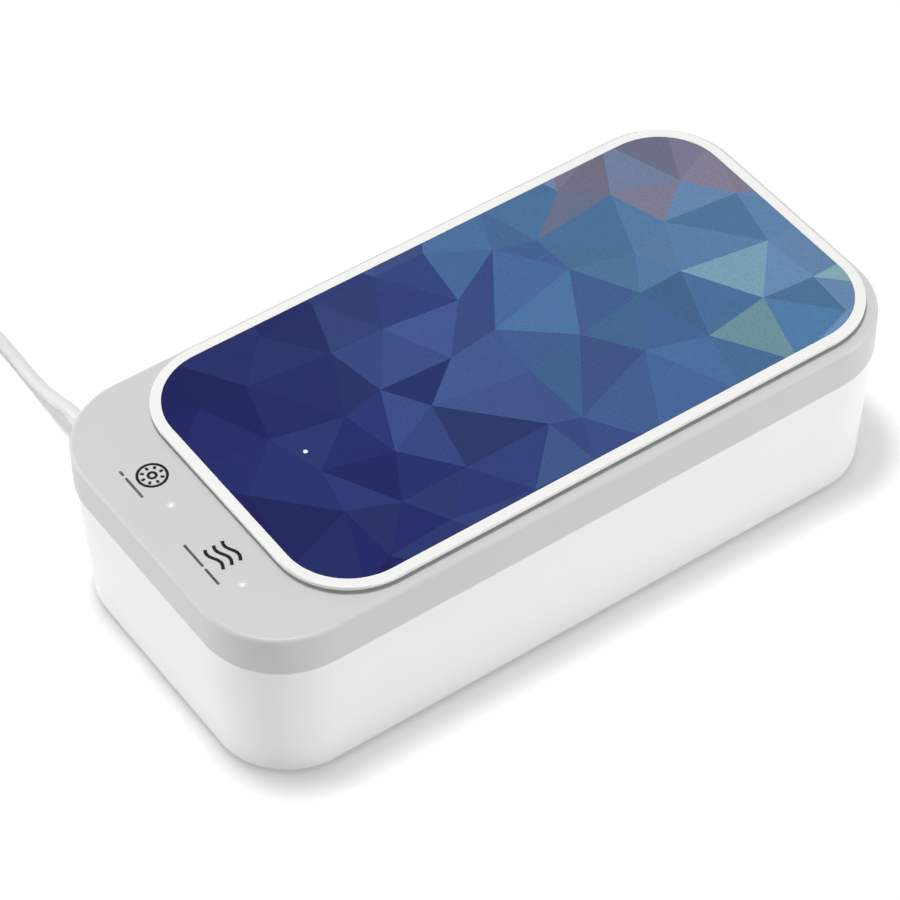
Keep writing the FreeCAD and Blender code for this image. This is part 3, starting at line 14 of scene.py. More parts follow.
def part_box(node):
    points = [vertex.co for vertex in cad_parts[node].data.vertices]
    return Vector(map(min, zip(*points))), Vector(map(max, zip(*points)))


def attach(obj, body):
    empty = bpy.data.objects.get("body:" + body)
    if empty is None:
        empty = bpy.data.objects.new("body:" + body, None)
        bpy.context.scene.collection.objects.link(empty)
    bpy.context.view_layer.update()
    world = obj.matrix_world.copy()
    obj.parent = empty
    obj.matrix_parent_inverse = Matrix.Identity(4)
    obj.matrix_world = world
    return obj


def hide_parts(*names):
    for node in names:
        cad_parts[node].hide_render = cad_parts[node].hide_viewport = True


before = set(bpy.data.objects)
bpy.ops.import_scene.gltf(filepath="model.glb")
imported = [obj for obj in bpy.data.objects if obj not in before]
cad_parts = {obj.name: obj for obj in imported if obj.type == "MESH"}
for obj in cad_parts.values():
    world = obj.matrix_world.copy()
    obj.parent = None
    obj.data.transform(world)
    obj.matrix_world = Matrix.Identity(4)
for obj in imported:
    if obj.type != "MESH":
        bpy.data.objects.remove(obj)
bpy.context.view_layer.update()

bl_info = {
    "name": "Sanitizer box",
    "version": (1, 0, 0),
    "blender": (4, 5, 0),
    "location": "3D View > Sidebar > Sanitizer",
    "description": "Dresses the packed sanitizer box and sets up its studio",
    "category": "Object",
}

MM = 0.001

# The cord's route from the near plug to the coil: the part's own points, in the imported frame
CORD_ROUTE = (
    (-0.0767, 0.07747, 0.0114),
    (-0.0767, 0.08707, 0.0114),
    (-0.0761, 0.0996, 0.00545),
    (-0.0756, 0.1120, 0.0023),
    (-0.0750, 0.1250, 0.00195),
    (-0.0750, 0.1385, 0.00195),
    (-0.0754, 0.1515, 0.0030),
    (-0.07635, 0.16875, 0.0075),
    (-0.07635, 0.17835, 0.0075),
)
COIL_DROP = 4.3 * MM            # from the upper layer of turns to the lower one
COIL_PITCH = 4.3 * MM
COIL_INNER_BEND = 12.0 * MM
COIL_HALF_TURNS = 7             # half turns in each layer
COIL_STEPS = 8                  # control points in a half turn
ROUND_STEPS = 6                 # facets in a quarter of a small round
HOOP_STEPS = 4 * ROUND_STEPS    # facets round a small circle

# Plugs: millimetres from a grip's front or back face, and how far its skin is drawn in there
GRIP_FRONT = ((0, 0.9), (0.2, 0.35), (0.8, 0))
GRIP_BACK = ((3.0, 0), (1.2, 0.35), (0.3, 1.1), (0, 1.9))
GRIP_CORNER_KEPT = 0.4          # least share of its corners' radius that a drawn-in skin keeps
# Share of a strain relief's length, and its radius there in radii of the cord
RELIEF_TAPER = ((0, 1.52), (0.1, 1.49), (0.5, 1.34), (0.92, 1.2), (1.0, 1.12))
RIB_RADIUS = 0.5 * MM
RIB_RISE = 0.25 * MM            # how far a ridge stands out of its face
RIDGE_PITCH = 2.2 * MM
RIDGE_SHARE = 0.62              # of the grip's width
COLLAR_REACH = 0.7              # radius of the first collar in diameters of the cord
COLLAR_TAPER = 0.055            # by which each further collar is smaller
COLLAR_START = 0.22             # share of the relief's length before the first collar
COLLAR_SPARE = 0.6              # pitches left free on the relief
STRAP_THICK = 0.8 * MM
STRAP_CORNER = 2.6 * MM
# The strap's section in halves of its width and in its thickness, with the edges taken off
STRAP_SECTION = ((-1, -0.3), (-0.97, -0.5), (0.97, -0.5), (1, -0.3),
                 (1, 0.3), (0.97, 0.5), (-0.97, 0.5), (-1, 0.3))

# Panel: places in its print are shares of its length from the button end and of its width from the front
ROW_SHIFT = 0.5                 # of a facet, in every second row
LAST_INK = 0.999                # keeps the palest facets inside the row of inks
INK_STRAY = 0.13                # how far a facet's ink strays along the row of inks
INK_SHADES = (0.82, 1.16)       # darkest and palest facet of one ink
MAUVE_FROM = 0.72
MAUVE_CORNER = 1.6              # least sum of both shares
MAUVE_MIX = (0.3, 0.9)          # least and most of the accent in a facet
MINT_FROM = 0.55
MINT_CHANCE = 0.16
MINT_MIX = (0.4, 0.9)
CUT_TOLERANCE = 1e-7            # points of the print that are nearer than this are one
HOLE_CORNER = 0.999             # corner of the light hole in its radius, just short of meeting the next one

# Symbols: the bars' distance from the keys' middles towards the end, and their ends along Y, in millimetres
SUN_BARS = (6.1, ((22.9, 20.9), (20.0, 11.5)))
WAVE_BARS = (6.3, ((-8.4, -17.5), (-18.4, -24.9)))
BAR_CORNER = 0.499              # corner of a bar in its width, just short of meeting the next one
RING_STEPS = 64
WAVE_STEPS = 48

# Light pipes: the dome gives shares of the radius, and how many millimetres it lies below the top there
FLANGE_THICK = 0.7 * MM
PIPE_DOME = ((1.0, 0.1), (0.85, 0.03), (0.45, 0.0))

# Studio, in metres
FLOOR_SIZE = 6.0
FLOOR_CORNER = 1.0
FLOOR_LEVELS = (-0.02, -0.0002)     # underside and top, a hair below the feet
LIFT_FROM = 0.4                     # distance from the box at which the floor's lift starts to grow
LIFT_TO = 1.2                       # and at which it is full
SOFTBOXES = (("top_softbox", (-0.1, 0.1, 1.4), 0.3), ("end_softbox", (-0.95, 0.95, 0.2), 0.5),
             ("front_softbox", (0.95, -0.95, 0.2), 0.5))


def linear(code):
    """Linear colour of an sRGB hex value."""
    parts = [int(code[i:i + 2], 16) / 255 for i in (1, 3, 5)]
    return tuple(p / 12.92 if p <= 0.04045 else ((p + 0.055) / 1.055) ** 2.4 for p in parts) + (1.0,)


def per_mm(size):
    """Texture scale whose features are about that many millimetres across."""
    return 1 / (size * MM)


def add(tree, kind, inputs=None, **settings):
    """Adds a node with its settings, and sets or links its inputs."""
    node = tree.nodes.new(kind)
    for name, value in settings.items():
        setattr(node, name, value)
    for key, value in (inputs or {}).items():
        if isinstance(value, bpy.types.NodeSocket):
            tree.links.new(value, node.inputs[key])
        else:
            node.inputs[key].default_value = value
    return node


def new_material(name, **sockets):
    """Empty material. Returns it with its tree, its shader and the object's coordinates."""
    material = bpy.data.materials.new(name)
    material.use_nodes = True
    tree = material.node_tree
    tree.nodes.clear()
    shader = add(tree, "ShaderNodeBsdfPrincipled",
                 {key.replace("_", " "): value for key, value in sockets.items()})
    add(tree, "ShaderNodeOutputMaterial", {"Surface": shader.outputs["BSDF"]})
    place = add(tree, "ShaderNodeTexCoord").outputs["Object"]
    return material, tree, shader, place


def surface(tree, shader, pattern, tints=None, gloss=None, depth=0, strength=1.0):
    """Takes what is given of a shader's colour, roughness and relief in millimetres from one pattern."""
    if tints:
        blend = add(tree, "ShaderNodeMix", {0: pattern, 6: tints[0], 7: tints[1]}, data_type="RGBA")
        tree.links.new(blend.outputs[2], shader.inputs["Base Color"])
    if gloss:
        dull = add(tree, "ShaderNodeMapRange", {"Value": pattern, "To Min": gloss[0], "To Max": gloss[1]})
        tree.links.new(dull.outputs["Result"], shader.inputs["Roughness"])
    if depth:
        bump = add(tree, "ShaderNodeBump", {"Height": pattern, "Distance": depth * MM, "Strength": strength})
        tree.links.new(bump.outputs["Normal"], shader.inputs["Normal"])


def dimmed(colour, share):
    """Colour with that share of its light taken off."""
    return tuple(c * (1 - share) for c in colour[:3]) + (1.0,)


def moulded(name, colour, roughness, grain, depth, drift=0.05, **sockets):
    """Moulded polymer: its colour drifts a little over the piece, and the tool's grain breaks the gloss.
    Grain and depth are in millimetres, and drift is the share of light that the darkest places lose."""
    material, tree, shader, place = new_material(name, **sockets)
    cloud = add(tree, "ShaderNodeTexNoise", {"Vector": place, "Scale": per_mm(45), "Detail": 2.0})
    surface(tree, shader, cloud.outputs["Fac"], tints=(dimmed(colour, drift), colour))
    peel = add(tree, "ShaderNodeTexNoise", {"Vector": place, "Scale": per_mm(grain), "Detail": 3.0})
    surface(tree, shader, peel.outputs["Fac"], gloss=(roughness - 0.06, roughness + 0.06), depth=depth,
            strength=0.6)
    return material


def worked_metal(name, colour, roughness, stretch, line, depth):
    """Bare or plated metal whose fine lines run one way, as rolling, drawing or turning leaves them.
    Line and depth are in millimetres, and the lines run along the axis whose stretch is small."""
    material, tree, shader, place = new_material(name, Metallic=1.0)
    along = add(tree, "ShaderNodeMapping", {"Vector": place, "Scale": stretch})
    lines = add(tree, "ShaderNodeTexNoise", {"Vector": along.outputs["Vector"], "Scale": per_mm(line),
                                             "Detail": 4.0})
    surface(tree, shader, lines.outputs["Fac"], tints=(dimmed(colour, 0.12), colour),
            gloss=(roughness - 0.07, roughness + 0.09), depth=depth, strength=0.5)
    return material


def sintered(name, code, other, roughness, grain):
    """Fired or pressed powder: two close tints in fine grains, dull and slightly pitted."""
    material, tree, shader, place = new_material(name)
    grains = add(tree, "ShaderNodeTexVoronoi", {"Vector": place, "Scale": per_mm(grain)})
    surface(tree, shader, grains.outputs["Distance"], tints=(linear(code), linear(other)),
            gloss=(roughness - 0.08, roughness + 0.08), depth=0.02)
    return material


def solder_resist(name, code, track_code):
    """Circuit board: solder resist over copper tracks, which show a shade lighter and a hair raised."""
    material, tree, shader, place = new_material(name, Coat_Weight=0.4, Coat_Roughness=0.15)
    tracks = add(tree, "ShaderNodeTexBrick", {"Vector": place, "Scale": per_mm(2.4), "Mortar Size": 0.06,
                                              "Color1": linear(code), "Color2": linear(code),
                                              "Mortar": linear(track_code)})
    tree.links.new(tracks.outputs["Color"], shader.inputs["Base Color"])
    surface(tree, shader, tracks.outputs["Fac"], depth=0.03)
    weave = add(tree, "ShaderNodeTexNoise", {"Vector": place, "Scale": per_mm(0.5)})
    surface(tree, shader, weave.outputs["Fac"], gloss=(0.3, 0.45))
    return material


def quartz_glass():
    """Polished quartz sheet: clear, with a hard gloss and a faint waviness."""
    material, tree, shader, place = new_material(
        "quartz_glass", Base_Color=linear("#f4f8fa"), Transmission_Weight=1.0, IOR=1.46, Roughness=0.02)
    wave = add(tree, "ShaderNodeTexNoise", {"Vector": place, "Scale": per_mm(30)})
    surface(tree, shader, wave.outputs["Fac"], depth=0.01)
    return material


def milky_acrylic():
    """Milky acrylic light pipe: pale grey with a hard gloss, a little cloudy."""
    material, tree, shader, place = new_material("milky_acrylic", Roughness=0.2, IOR=1.49)
    milk = add(tree, "ShaderNodeTexNoise", {"Vector": place, "Scale": per_mm(0.6)})
    surface(tree, shader, milk.outputs["Fac"], tints=(linear("#ced0cd"), linear("#d8dad7")))
    return material


def lamp_glow_and_painted_halo(material, lights, reach, strength):
    """White light of small lamps, which fades from their middles over a short way in a material. On a skin
    that is no lamp, such as the lid's, this glow is a painted halo of light.
    """
    tree = material.node_tree
    shader = tree.nodes["Principled BSDF"]
    place = tree.nodes["Texture Coordinate"].outputs["Object"]
    nearest = reach
    for light in lights:
        away = add(tree, "ShaderNodeVectorMath", {0: place, 1: light}, operation="DISTANCE")
        nearest = add(tree, "ShaderNodeMath", {0: away.outputs["Value"], 1: nearest},
                      operation="MINIMUM").outputs["Value"]
    glow = add(tree, "ShaderNodeMapRange", {"Value": nearest, "From Min": 0.0, "From Max": reach,
                                            "To Min": strength, "To Max": 0.0},
               interpolation_type="SMOOTHSTEP")
    shader.inputs["Emission Color"].default_value = linear("#ffffff")
    tree.links.new(glow.outputs["Result"], shader.inputs["Emission Strength"])


def wound_copper():
    """Flat winding of enamelled wire: rounded bands side by side, copper under clear amber enamel, its colour
    painted darker into the grooves between the bands and lighter on their crowns, as shade and highlight.
    """
    material, tree, shader, place = new_material("enamelled_copper_winding", Metallic=0.9, Roughness=0.3,
                                                 Coat_Weight=0.5, Coat_Roughness=0.1)
    low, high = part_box("charging_coil")
    centre = (low + high) / 2
    middle = add(tree, "ShaderNodeMapping", {"Vector": place, "Location": -centre})
    # A wave texture of scale 1 repeats every tau / 20 metres, so the bands are about 6 mm wide
    strands_and_painted_shade = add(tree, "ShaderNodeTexWave", {"Vector": middle.outputs["Vector"],
                                              "Scale": per_mm(1.0) / 20, "Detail": 0.0},
                  wave_type="RINGS", rings_direction="Z")
    # Painted shade and highlight: the bands that give the relief also take the copper from dark in the
    # grooves to light on the crowns
    surface(tree, shader, strands_and_painted_shade.outputs["Fac"], tints=(linear("#5e2c12"), linear("#c9784a")), depth=0.2)
    return material


def woven_strap(colour):
    """Hook-and-loop strap: woven nylon with a short nap, so it is matt with a fine ribbed weave."""
    material, tree, shader, place = new_material("woven_nylon_strap", Sheen_Weight=0.4, Sheen_Roughness=0.5)
    weave = add(tree, "ShaderNodeTexChecker", {"Vector": place, "Scale": per_mm(0.7),
                                               "Color1": colour, "Color2": linear("#b9b9b4")})
    tree.links.new(weave.outputs["Color"], shader.inputs["Base Color"])
    nap = add(tree, "ShaderNodeTexNoise", {"Vector": place, "Scale": per_mm(0.3), "Detail": 3.0})
    surface(tree, shader, nap.outputs["Fac"], gloss=(0.7, 0.95), depth=0.15)
    return material


def printed_film():
    """Print under a matt acrylic film: flat inks, a fine grain in them and a soft sheen on top."""
    material, tree, shader, place = new_material("printed_acrylic_film", IOR=1.49, Specular_IOR_Level=0.12)
    ink = add(tree, "ShaderNodeAttribute", attribute_name="print_colour")
    # Print dots of 0.15 mm are too fine to show, so the grain is drawn three times as coarse
    grain = add(tree, "ShaderNodeTexNoise", {"Vector": place, "Scale": per_mm(0.45), "Detail": 2.0})
    shade = add(tree, "ShaderNodeMapRange", {"Value": grain.outputs["Fac"], "From Min": 0.3,
                                             "From Max": 0.7, "To Min": 0.86, "To Max": 1.12})
    inked = add(tree, "ShaderNodeVectorMath", {0: ink.outputs["Color"], "Scale": shade.outputs["Result"]},
                operation="SCALE")
    tree.links.new(inked.outputs["Vector"], shader.inputs["Base Color"])
    surface(tree, shader, grain.outputs["Fac"], gloss=(0.42, 0.55))
    return material


def symbol_ink(name, colour):
    """Pad-printed ink: matt, with very dark patches where it lies uneven."""
    material, tree, shader, place = new_material(name, IOR=1.25)
    patches = add(tree, "ShaderNodeTexNoise", {"Vector": place, "Scale": per_mm(1.2)})
    surface(tree, shader, patches.outputs["Fac"], tints=(colour, linear("#1b1e1d")), gloss=(0.5, 0.65))
    return material


def seen_white(tree):
    """1 for rays that show the background, straight on or in gloss and glass, and 0 for light itself."""
    rays = add(tree, "ShaderNodeLightPath").outputs
    seen = rays["Is Camera Ray"]
    for ray in ("Is Glossy Ray", "Is Transmission Ray"):
        seen = add(tree, "ShaderNodeMath", {0: seen, 1: rays[ray]}, operation="MAXIMUM").outputs["Value"]
    return seen


def dress(material, *nodes):
    """Gives CAD nodes a finish."""
    for name in nodes:
        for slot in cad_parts[name].material_slots:
            slot.material = material


def piece(name, mesh, material, body):
    """Object of a finished mesh that rides on a body."""
    made = bpy.data.objects.new(name, mesh)
    bpy.context.scene.collection.objects.link(made)
    mesh.materials.clear()
    mesh.materials.append(material)
    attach(made, body)
    return made


def loft(name, *runs, closed=False):
    """Mesh through runs of rings of equally many points, each joined end to end or capped at both ends."""
    shape = bmesh.new()
    for rings in runs:
        rows = [[shape.verts.new(point) for point in ring] for ring in rings]
        for one, two in zip(rows, rows[1:] + rows[:1] if closed else rows[1:]):
            for i in range(len(one)):
                j = (i + 1) % len(one)
                shape.faces.new((one[i], one[j], two[j], two[i]))
        if not closed:
            shape.faces.new(rows[0])
            shape.faces.new(rows[-1])
    bmesh.ops.recalc_face_normals(shape, faces=shape.faces)
    mesh = bpy.data.meshes.new(name)
    shape.to_mesh(mesh)
    shape.free()
    mesh.polygons.foreach_set("use_smooth", [len(p.vertices) == 4 for p in mesh.polygons])
    return mesh


def rounded_outline(length, width, radius, steps):
    """Points of a rectangle with round corners, about the middle, counter-clockwise."""
    points = []
    for turn, (side_x, side_y) in enumerate(((1, 1), (-1, 1), (-1, -1), (1, -1))):
        for step in range(steps + 1):
            angle = math.pi / 2 * (turn + step / steps)
            points.append(Vector((side_x * (length / 2 - radius) + radius * math.cos(angle),
                                  side_y * (width / 2 - radius) + radius * math.sin(angle))))
    return points


def geometry_tree(name, sockets):
    """Empty geometry tree with named inputs. Returns it with the sockets that give their values."""
    tree = bpy.data.node_groups.new(name, "GeometryNodeTree")
    for label, kind in sockets.items():
        tree.interface.new_socket(label, in_out="INPUT", socket_type="NodeSocket" + kind)
    tree.interface.new_socket("Geometry", in_out="OUTPUT", socket_type="NodeSocketGeometry")
    return tree, add(tree, "NodeGroupInput").outputs


def close_tree(tree, geometry, material):
    """Ends a geometry tree in plain meshes of one material."""
    plain = add(tree, "GeometryNodeRealizeInstances", {"Geometry": geometry})
    finished = add(tree, "GeometryNodeSetMaterial", {"Geometry": plain.outputs["Geometry"],
                                                     "Material": material})
    add(tree, "NodeGroupOutput", {"Geometry": finished.outputs["Geometry"]})


def grown_mesh(tree, values):
    """Plain mesh of what a geometry tree makes from the values of its named inputs."""
    seed = bpy.data.objects.new(tree.name, bpy.data.meshes.new(tree.name))
    bpy.context.scene.collection.objects.link(seed)
    modifier = seed.modifiers.new(tree.name, "NODES")
    modifier.node_group = tree
    for item in tree.interface.items_tree:
        if item.in_out == "INPUT":
            modifier[item.identifier] = values[item.name]
    graph = bpy.context.evaluated_depsgraph_get()
    mesh = bpy.data.meshes.new_from_object(seed.evaluated_get(graph), depsgraph=graph)
    seed.modifiers.remove(modifier)
    bpy.data.objects.remove(seed)
    return mesh


def colour(name, description, code):
    """Property of a colour."""
    return FloatVectorProperty(name=name, description=description, subtype="COLOR", size=4, min=0, max=1,
                               default=linear(code))


def length(name, description, size):
    """Property of a length, given in millimetres."""
    return FloatProperty(name=name, description=description, subtype="DISTANCE", unit="LENGTH", precision=5,
                         min=0, default=size * MM)


class CaseSettings(bpy.types.PropertyGroup):
    """Colours of the moulded case."""
    base: colour("Base", "White of the base and its bottom", "#f6f6f4")
    lid: colour("Lid", "Light grey of the lid", "#d0d2cf")
    rim: colour("Pad rim", "White of the rim round the panel", "#f3f3f1")
    liner: colour("Liner", "White of the lid's inside", "#e9eae7")
    rubber: colour("Feet", "Grey of the rubber feet", "#8d908f")


class PanelSettings(bpy.types.PropertyGroup):
    """Printed panel of the charging pad."""
    corner: length("Corner", "Radius of the panel's corners", 19.0)
    facet: length("Facet", "Size of the facets in the print", 19.0)
    scatter: FloatProperty(name="Scatter", description="How far the facets stray from a grid",
                           subtype="FACTOR", min=0, max=0.45, default=0.3)
    light_hole: length("Light hole", "Radius of the hole for the charge light", 0.75)
    seed: IntProperty(name="Seed", description="Order of the facets' tints", default=21)
    navy: colour("Navy", "Ink at the button end", "#101456")
    royal: colour("Royal blue", "Ink next to the navy", "#23306b")
    middle: colour("Middle blue", "Ink in the middle", "#3b4f86")
    teal: colour("Teal", "Ink past the middle", "#47719a")
    pale: colour("Pale blue", "Ink at the far end", "#6b8cb4")
    mauve: colour("Mauve", "Accent at the far back corner", "#7d6c78")
    mint: colour("Mint", "Accent among the pale facets", "#7fa6a4")


class SymbolSettings(bpy.types.PropertyGroup):
    """Printed symbols on the touch keys."""
    ink: colour("Ink", "Near black of the symbols", "#0b0d0d")
    label: colour("Label", "Grey of the plain bars beside the symbols", "#7d807f")
    thickness: length("Thickness", "Thickness of the ink", 0.04)
    sun: length("Sun", "Diameter of the sun's ring", 8.7)
    sun_line: length("Sun's line", "Width of the sun's lines", 0.78)
    sun_disc: length("Sun's disc", "Diameter of the circle in the middle", 2.9)
    rays: IntProperty(name="Rays", description="Rays of the sun", min=3, default=8)
    ray_from: length("Ray's start", "Distance of a ray from the middle", 2.2)
    ray: length("Ray", "Length of a ray", 1.05)
    wave: length("Wave", "Length of a wave line", 8.3)
    wave_line: length("Wave's line", "Width of a wave line", 0.95)
    swing: length("Swing", "Swing of a wave line to each side", 0.75)
    period: length("Period", "Length of one full wave", 8.7)
    wave_start: FloatProperty(name="Wave's start", description="Where in its swing a line starts",
                              subtype="ANGLE", default=math.radians(-158))
    waves: IntProperty(name="Waves", description="Wave lines side by side", min=1, default=3)
    spacing: length("Spacing", "Distance between the wave lines", 2.62)
    bar: length("Bar", "Width of a label bar", 0.75)
    light: length("Light", "Radius of an indicator light", 0.7)
    charge_light: length("Charge light", "Radius of the charge light", 0.65)
    # On the lid's grey skin this glow is a painted halo of light round each lamp, not light carried through
    # the plastic
    glow: length("Glow", "How far the light of a lamp spreads in the skin", 1.5)
    glow_strength: FloatProperty(name="Glow's strength", description="Light in the middle of a lamp", min=0,
                                 default=0.36)


class CordSettings(bpy.types.PropertyGroup):
    """Power cord and its plugs."""
    jacket: colour("Jacket", "White of the cord", "#e6e6e2")
    strap: colour("Strap", "White of the strap round the coil", "#dcdcd6")
    diameter: length("Diameter", "Diameter of the cord", 3.8)
    full: length("Length", "Length of the cord from plug to plug", 1055.0)
    near_grip: length("Near grip", "Length of the grip at the box", 18.0)
    near_corner: length("Near corner", "Radius of that grip's corners", 2.4)
    far_grip: length("Far grip", "Length of the grip at the far end", 22.0)
    far_corner: length("Far corner", "Radius of that grip's corners", 1.6)
    ridges: IntProperty(name="Ridges", description="Ridges on each face of a grip", min=1, default=5)
    collars: IntProperty(name="Collars", description="Collars on a strain relief", min=1, default=4)


class StageSettings(bpy.types.PropertyGroup):
    """Camera, lamps and floor of the studio."""
    camera: FloatVectorProperty(name="Camera", description="Where the camera stands", size=3,
                                subtype="TRANSLATION", unit="LENGTH", default=(-0.400686, -0.567451, 0.76323))
    azimuth: FloatProperty(name="Azimuth", description="Turn of the camera about the upright axis",
                           subtype="ANGLE", default=math.radians(-34.603))
    elevation: FloatProperty(name="Elevation", description="Camera's angle above the floor",
                             subtype="ANGLE", default=math.radians(46.813))
    roll: FloatProperty(name="Roll", description="Tilt of the picture", subtype="ANGLE",
                        default=math.radians(-0.878))
    lens: FloatProperty(name="Lens", description="Focal length on a 36 mm sensor", unit="CAMERA",
                        default=149.29)
    floor: colour("Floor", "White of the floor", "#ffffff")
    top_power: FloatProperty(name="Top lamp", description="Power of the softbox overhead",
                             unit="POWER", default=10.0)
    end_power: FloatProperty(name="End lamp", description="Power of the softbox at the button end",
                             unit="POWER", default=5.15)
    front_power: FloatProperty(name="Front lamp", description="Power of the softbox at the front",
                               unit="POWER", default=5.75)
    ambient: FloatProperty(name="Room light", description="Strength of the even light all round", min=0,
                           default=0.4)
    floor_lift: FloatProperty(name="Floor lift", min=0, default=0.12,
                              description="Light that the floor adds in the picture, so that it is white "
                                          "where nothing shades it")
    far_lift: FloatProperty(name="Far floor lift", min=0, default=0.66,
                            description="The same light far from the box, where the lamps hardly reach")


class SANITIZER_OT_stage(bpy.types.Operator):
    """Camera, softboxes, white floor and white world"""
    bl_idname = "sanitizer.stage"
    bl_label = "Stage"

    def softbox(self, name, place, size, power):
        """Round lamp that faces the box."""
        lamp = bpy.data.lights.new(name, "AREA")
        lamp.shape = "DISK"
        lamp.size = size
        lamp.energy = power
        made = bpy.data.objects.new(name, lamp)
        made.location = place
        made.rotation_euler = Vector(place).to_track_quat("Z", "Y").to_euler()
        bpy.context.scene.collection.objects.link(made)

    def floor(self, settings):
        """Painted floor, so wide and pale that only the shadow on it shows."""
        material, tree, shader, place = new_material("matt_white_paint", Roughness=0.9)
        specks = add(tree, "ShaderNodeTexNoise", {"Vector": place, "Scale": per_mm(80)})
        surface(tree, shader, specks.outputs["Fac"], tints=(linear("#f6f6f6"), settings.floor[:]))
        # The lamps fade with distance, and the lift grows as they do, so that the floor has no grey horizon
        away = add(tree, "ShaderNodeVectorMath", {0: place}, operation="LENGTH")
        lift = add(tree, "ShaderNodeMapRange", {
            "Value": away.outputs["Value"], "From Min": LIFT_FROM, "From Max": LIFT_TO,
            "To Min": settings.floor_lift, "To Max": settings.far_lift}, interpolation_type="SMOOTHSTEP")
        shown = add(tree, "ShaderNodeMath", {0: seen_white(tree), 1: lift.outputs["Result"]},
                    operation="MULTIPLY")
        glow = add(tree, "ShaderNodeEmission", {"Color": settings.floor[:],
                                                "Strength": shown.outputs["Value"]})
        both = add(tree, "ShaderNodeAddShader", {0: shader.outputs["BSDF"], 1: glow.outputs["Emission"]})
        tree.links.new(both.outputs["Shader"], tree.nodes["Material Output"].inputs["Surface"])
        outline = rounded_outline(FLOOR_SIZE, FLOOR_SIZE, FLOOR_CORNER, ROUND_STEPS)
        mesh = loft("floor", [[Vector((*point, z)) for point in outline] for z in FLOOR_LEVELS])
        mesh.materials.append(material)
        made = bpy.data.objects.new("floor", mesh)
        bpy.context.scene.collection.objects.link(made)

    def execute(self, context):
        settings = context.scene.sanitizer_stage
        context.scene.view_settings.view_transform = "Standard"
        lens = bpy.data.cameras.new("camera")
        lens.lens = settings.lens
        camera = bpy.data.objects.new("camera", lens)
        around, above, tilt = settings.azimuth, settings.elevation, settings.roll
        back = Vector((math.sin(around) * math.cos(above), -math.cos(around) * math.cos(above),
                       math.sin(above)))
        level = Vector((math.cos(around), math.sin(around), 0))
        upright = back.cross(level)
        right = level * math.cos(tilt) + upright * math.sin(tilt)
        up = upright * math.cos(tilt) - level * math.sin(tilt)
        turned = Matrix((right, up, back)).transposed().to_4x4()
        camera.matrix_world = Matrix.Translation(settings.camera) @ turned
        context.scene.collection.objects.link(camera)
        context.scene.camera = camera
        self.floor(settings)
        powers = (settings.top_power, settings.end_power, settings.front_power)
        for (name, place, size), power in zip(SOFTBOXES, powers):
            self.softbox(name, place, size, power)
        world = bpy.data.worlds.new("white_room")
        world.use_nodes = True
        tree = world.node_tree
        tree.nodes.clear()
        strength = add(tree, "ShaderNodeMapRange", {"Value": seen_white(tree), "To Min": settings.ambient,
                                                    "To Max": 1.0})
        light = add(tree, "ShaderNodeBackground", {"Color": linear("#ffffff"),
                                                   "Strength": strength.outputs["Result"]})
        add(tree, "ShaderNodeOutputWorld", {"Surface": light.outputs["Background"]})
        context.scene.world = world
        return {"FINISHED"}


class SANITIZER_OT_cord(bpy.types.Operator):
    """Power cord from the box to its coil, as one spline"""
    bl_idname = "sanitizer.cord"
    bl_label = "Cord"

    def coil_points(self):
        """Control points of the coil: half turns that close in on the upper layer and open on the lower."""
        start = Vector(CORD_ROUTE[-1])
        here = start + Vector((0, bpy.context.scene.sanitizer_cord.diameter, 0))
        step = math.pi / COIL_STEPS
        points = []
        for turn in range(2 * COIL_HALF_TURNS + 1):
            side = 1 if turn % 2 == 0 else -1
            bend = COIL_INNER_BEND + abs(turn - COIL_HALF_TURNS) * COIL_PITCH / 2
            centre = here - Vector((side * bend, 0, 0))
            for i in range(COIL_STEPS):
                angle = (i + 0.5) * step
                drop = COIL_DROP * (i + 0.5) / COIL_STEPS if turn == COIL_HALF_TURNS else 0
                # A control point stands off the turn, so that the spline runs on it
                reach = side * bend / math.cos(step / 2)
                points.append(centre + Vector((reach * math.cos(angle), reach * math.sin(angle), -drop)))
            here = centre - Vector((side * bend, 0, COIL_DROP if turn == COIL_HALF_TURNS else 0))
        points.append(Vector((here.x, start.y, here.z)))
        return points

    def execute(self, context):
        settings = context.scene.sanitizer_cord
        line = bpy.data.curves.new("power_cord", "CURVE")
        line.dimensions = "3D"
        line.bevel_depth = settings.diameter / 2
        line.bevel_resolution = 4
        line.use_fill_caps = True
        line.resolution_u = 6
        points = [Vector(point) for point in CORD_ROUTE] + self.coil_points()
        spline = line.splines.new("NURBS")
        spline.points.add(len(points) - 1)
        for control, point in zip(spline.points, points):
            control.co = (*point, 1)
        spline.order_u = 3
        spline.use_endpoint_u = True
        # Extruded soft PVC jacket: white, half matt, slightly uneven from the die
        line.materials.append(moulded("extruded_pvc_jacket", settings.jacket[:], roughness=0.45, grain=1.2,
                                      depth=0.05))
        made = bpy.data.objects.new("power_cord", line)
        context.scene.collection.objects.link(made)
        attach(made, "base")
        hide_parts("cord_lead", "cord_coil")
        return {"FINISHED"}


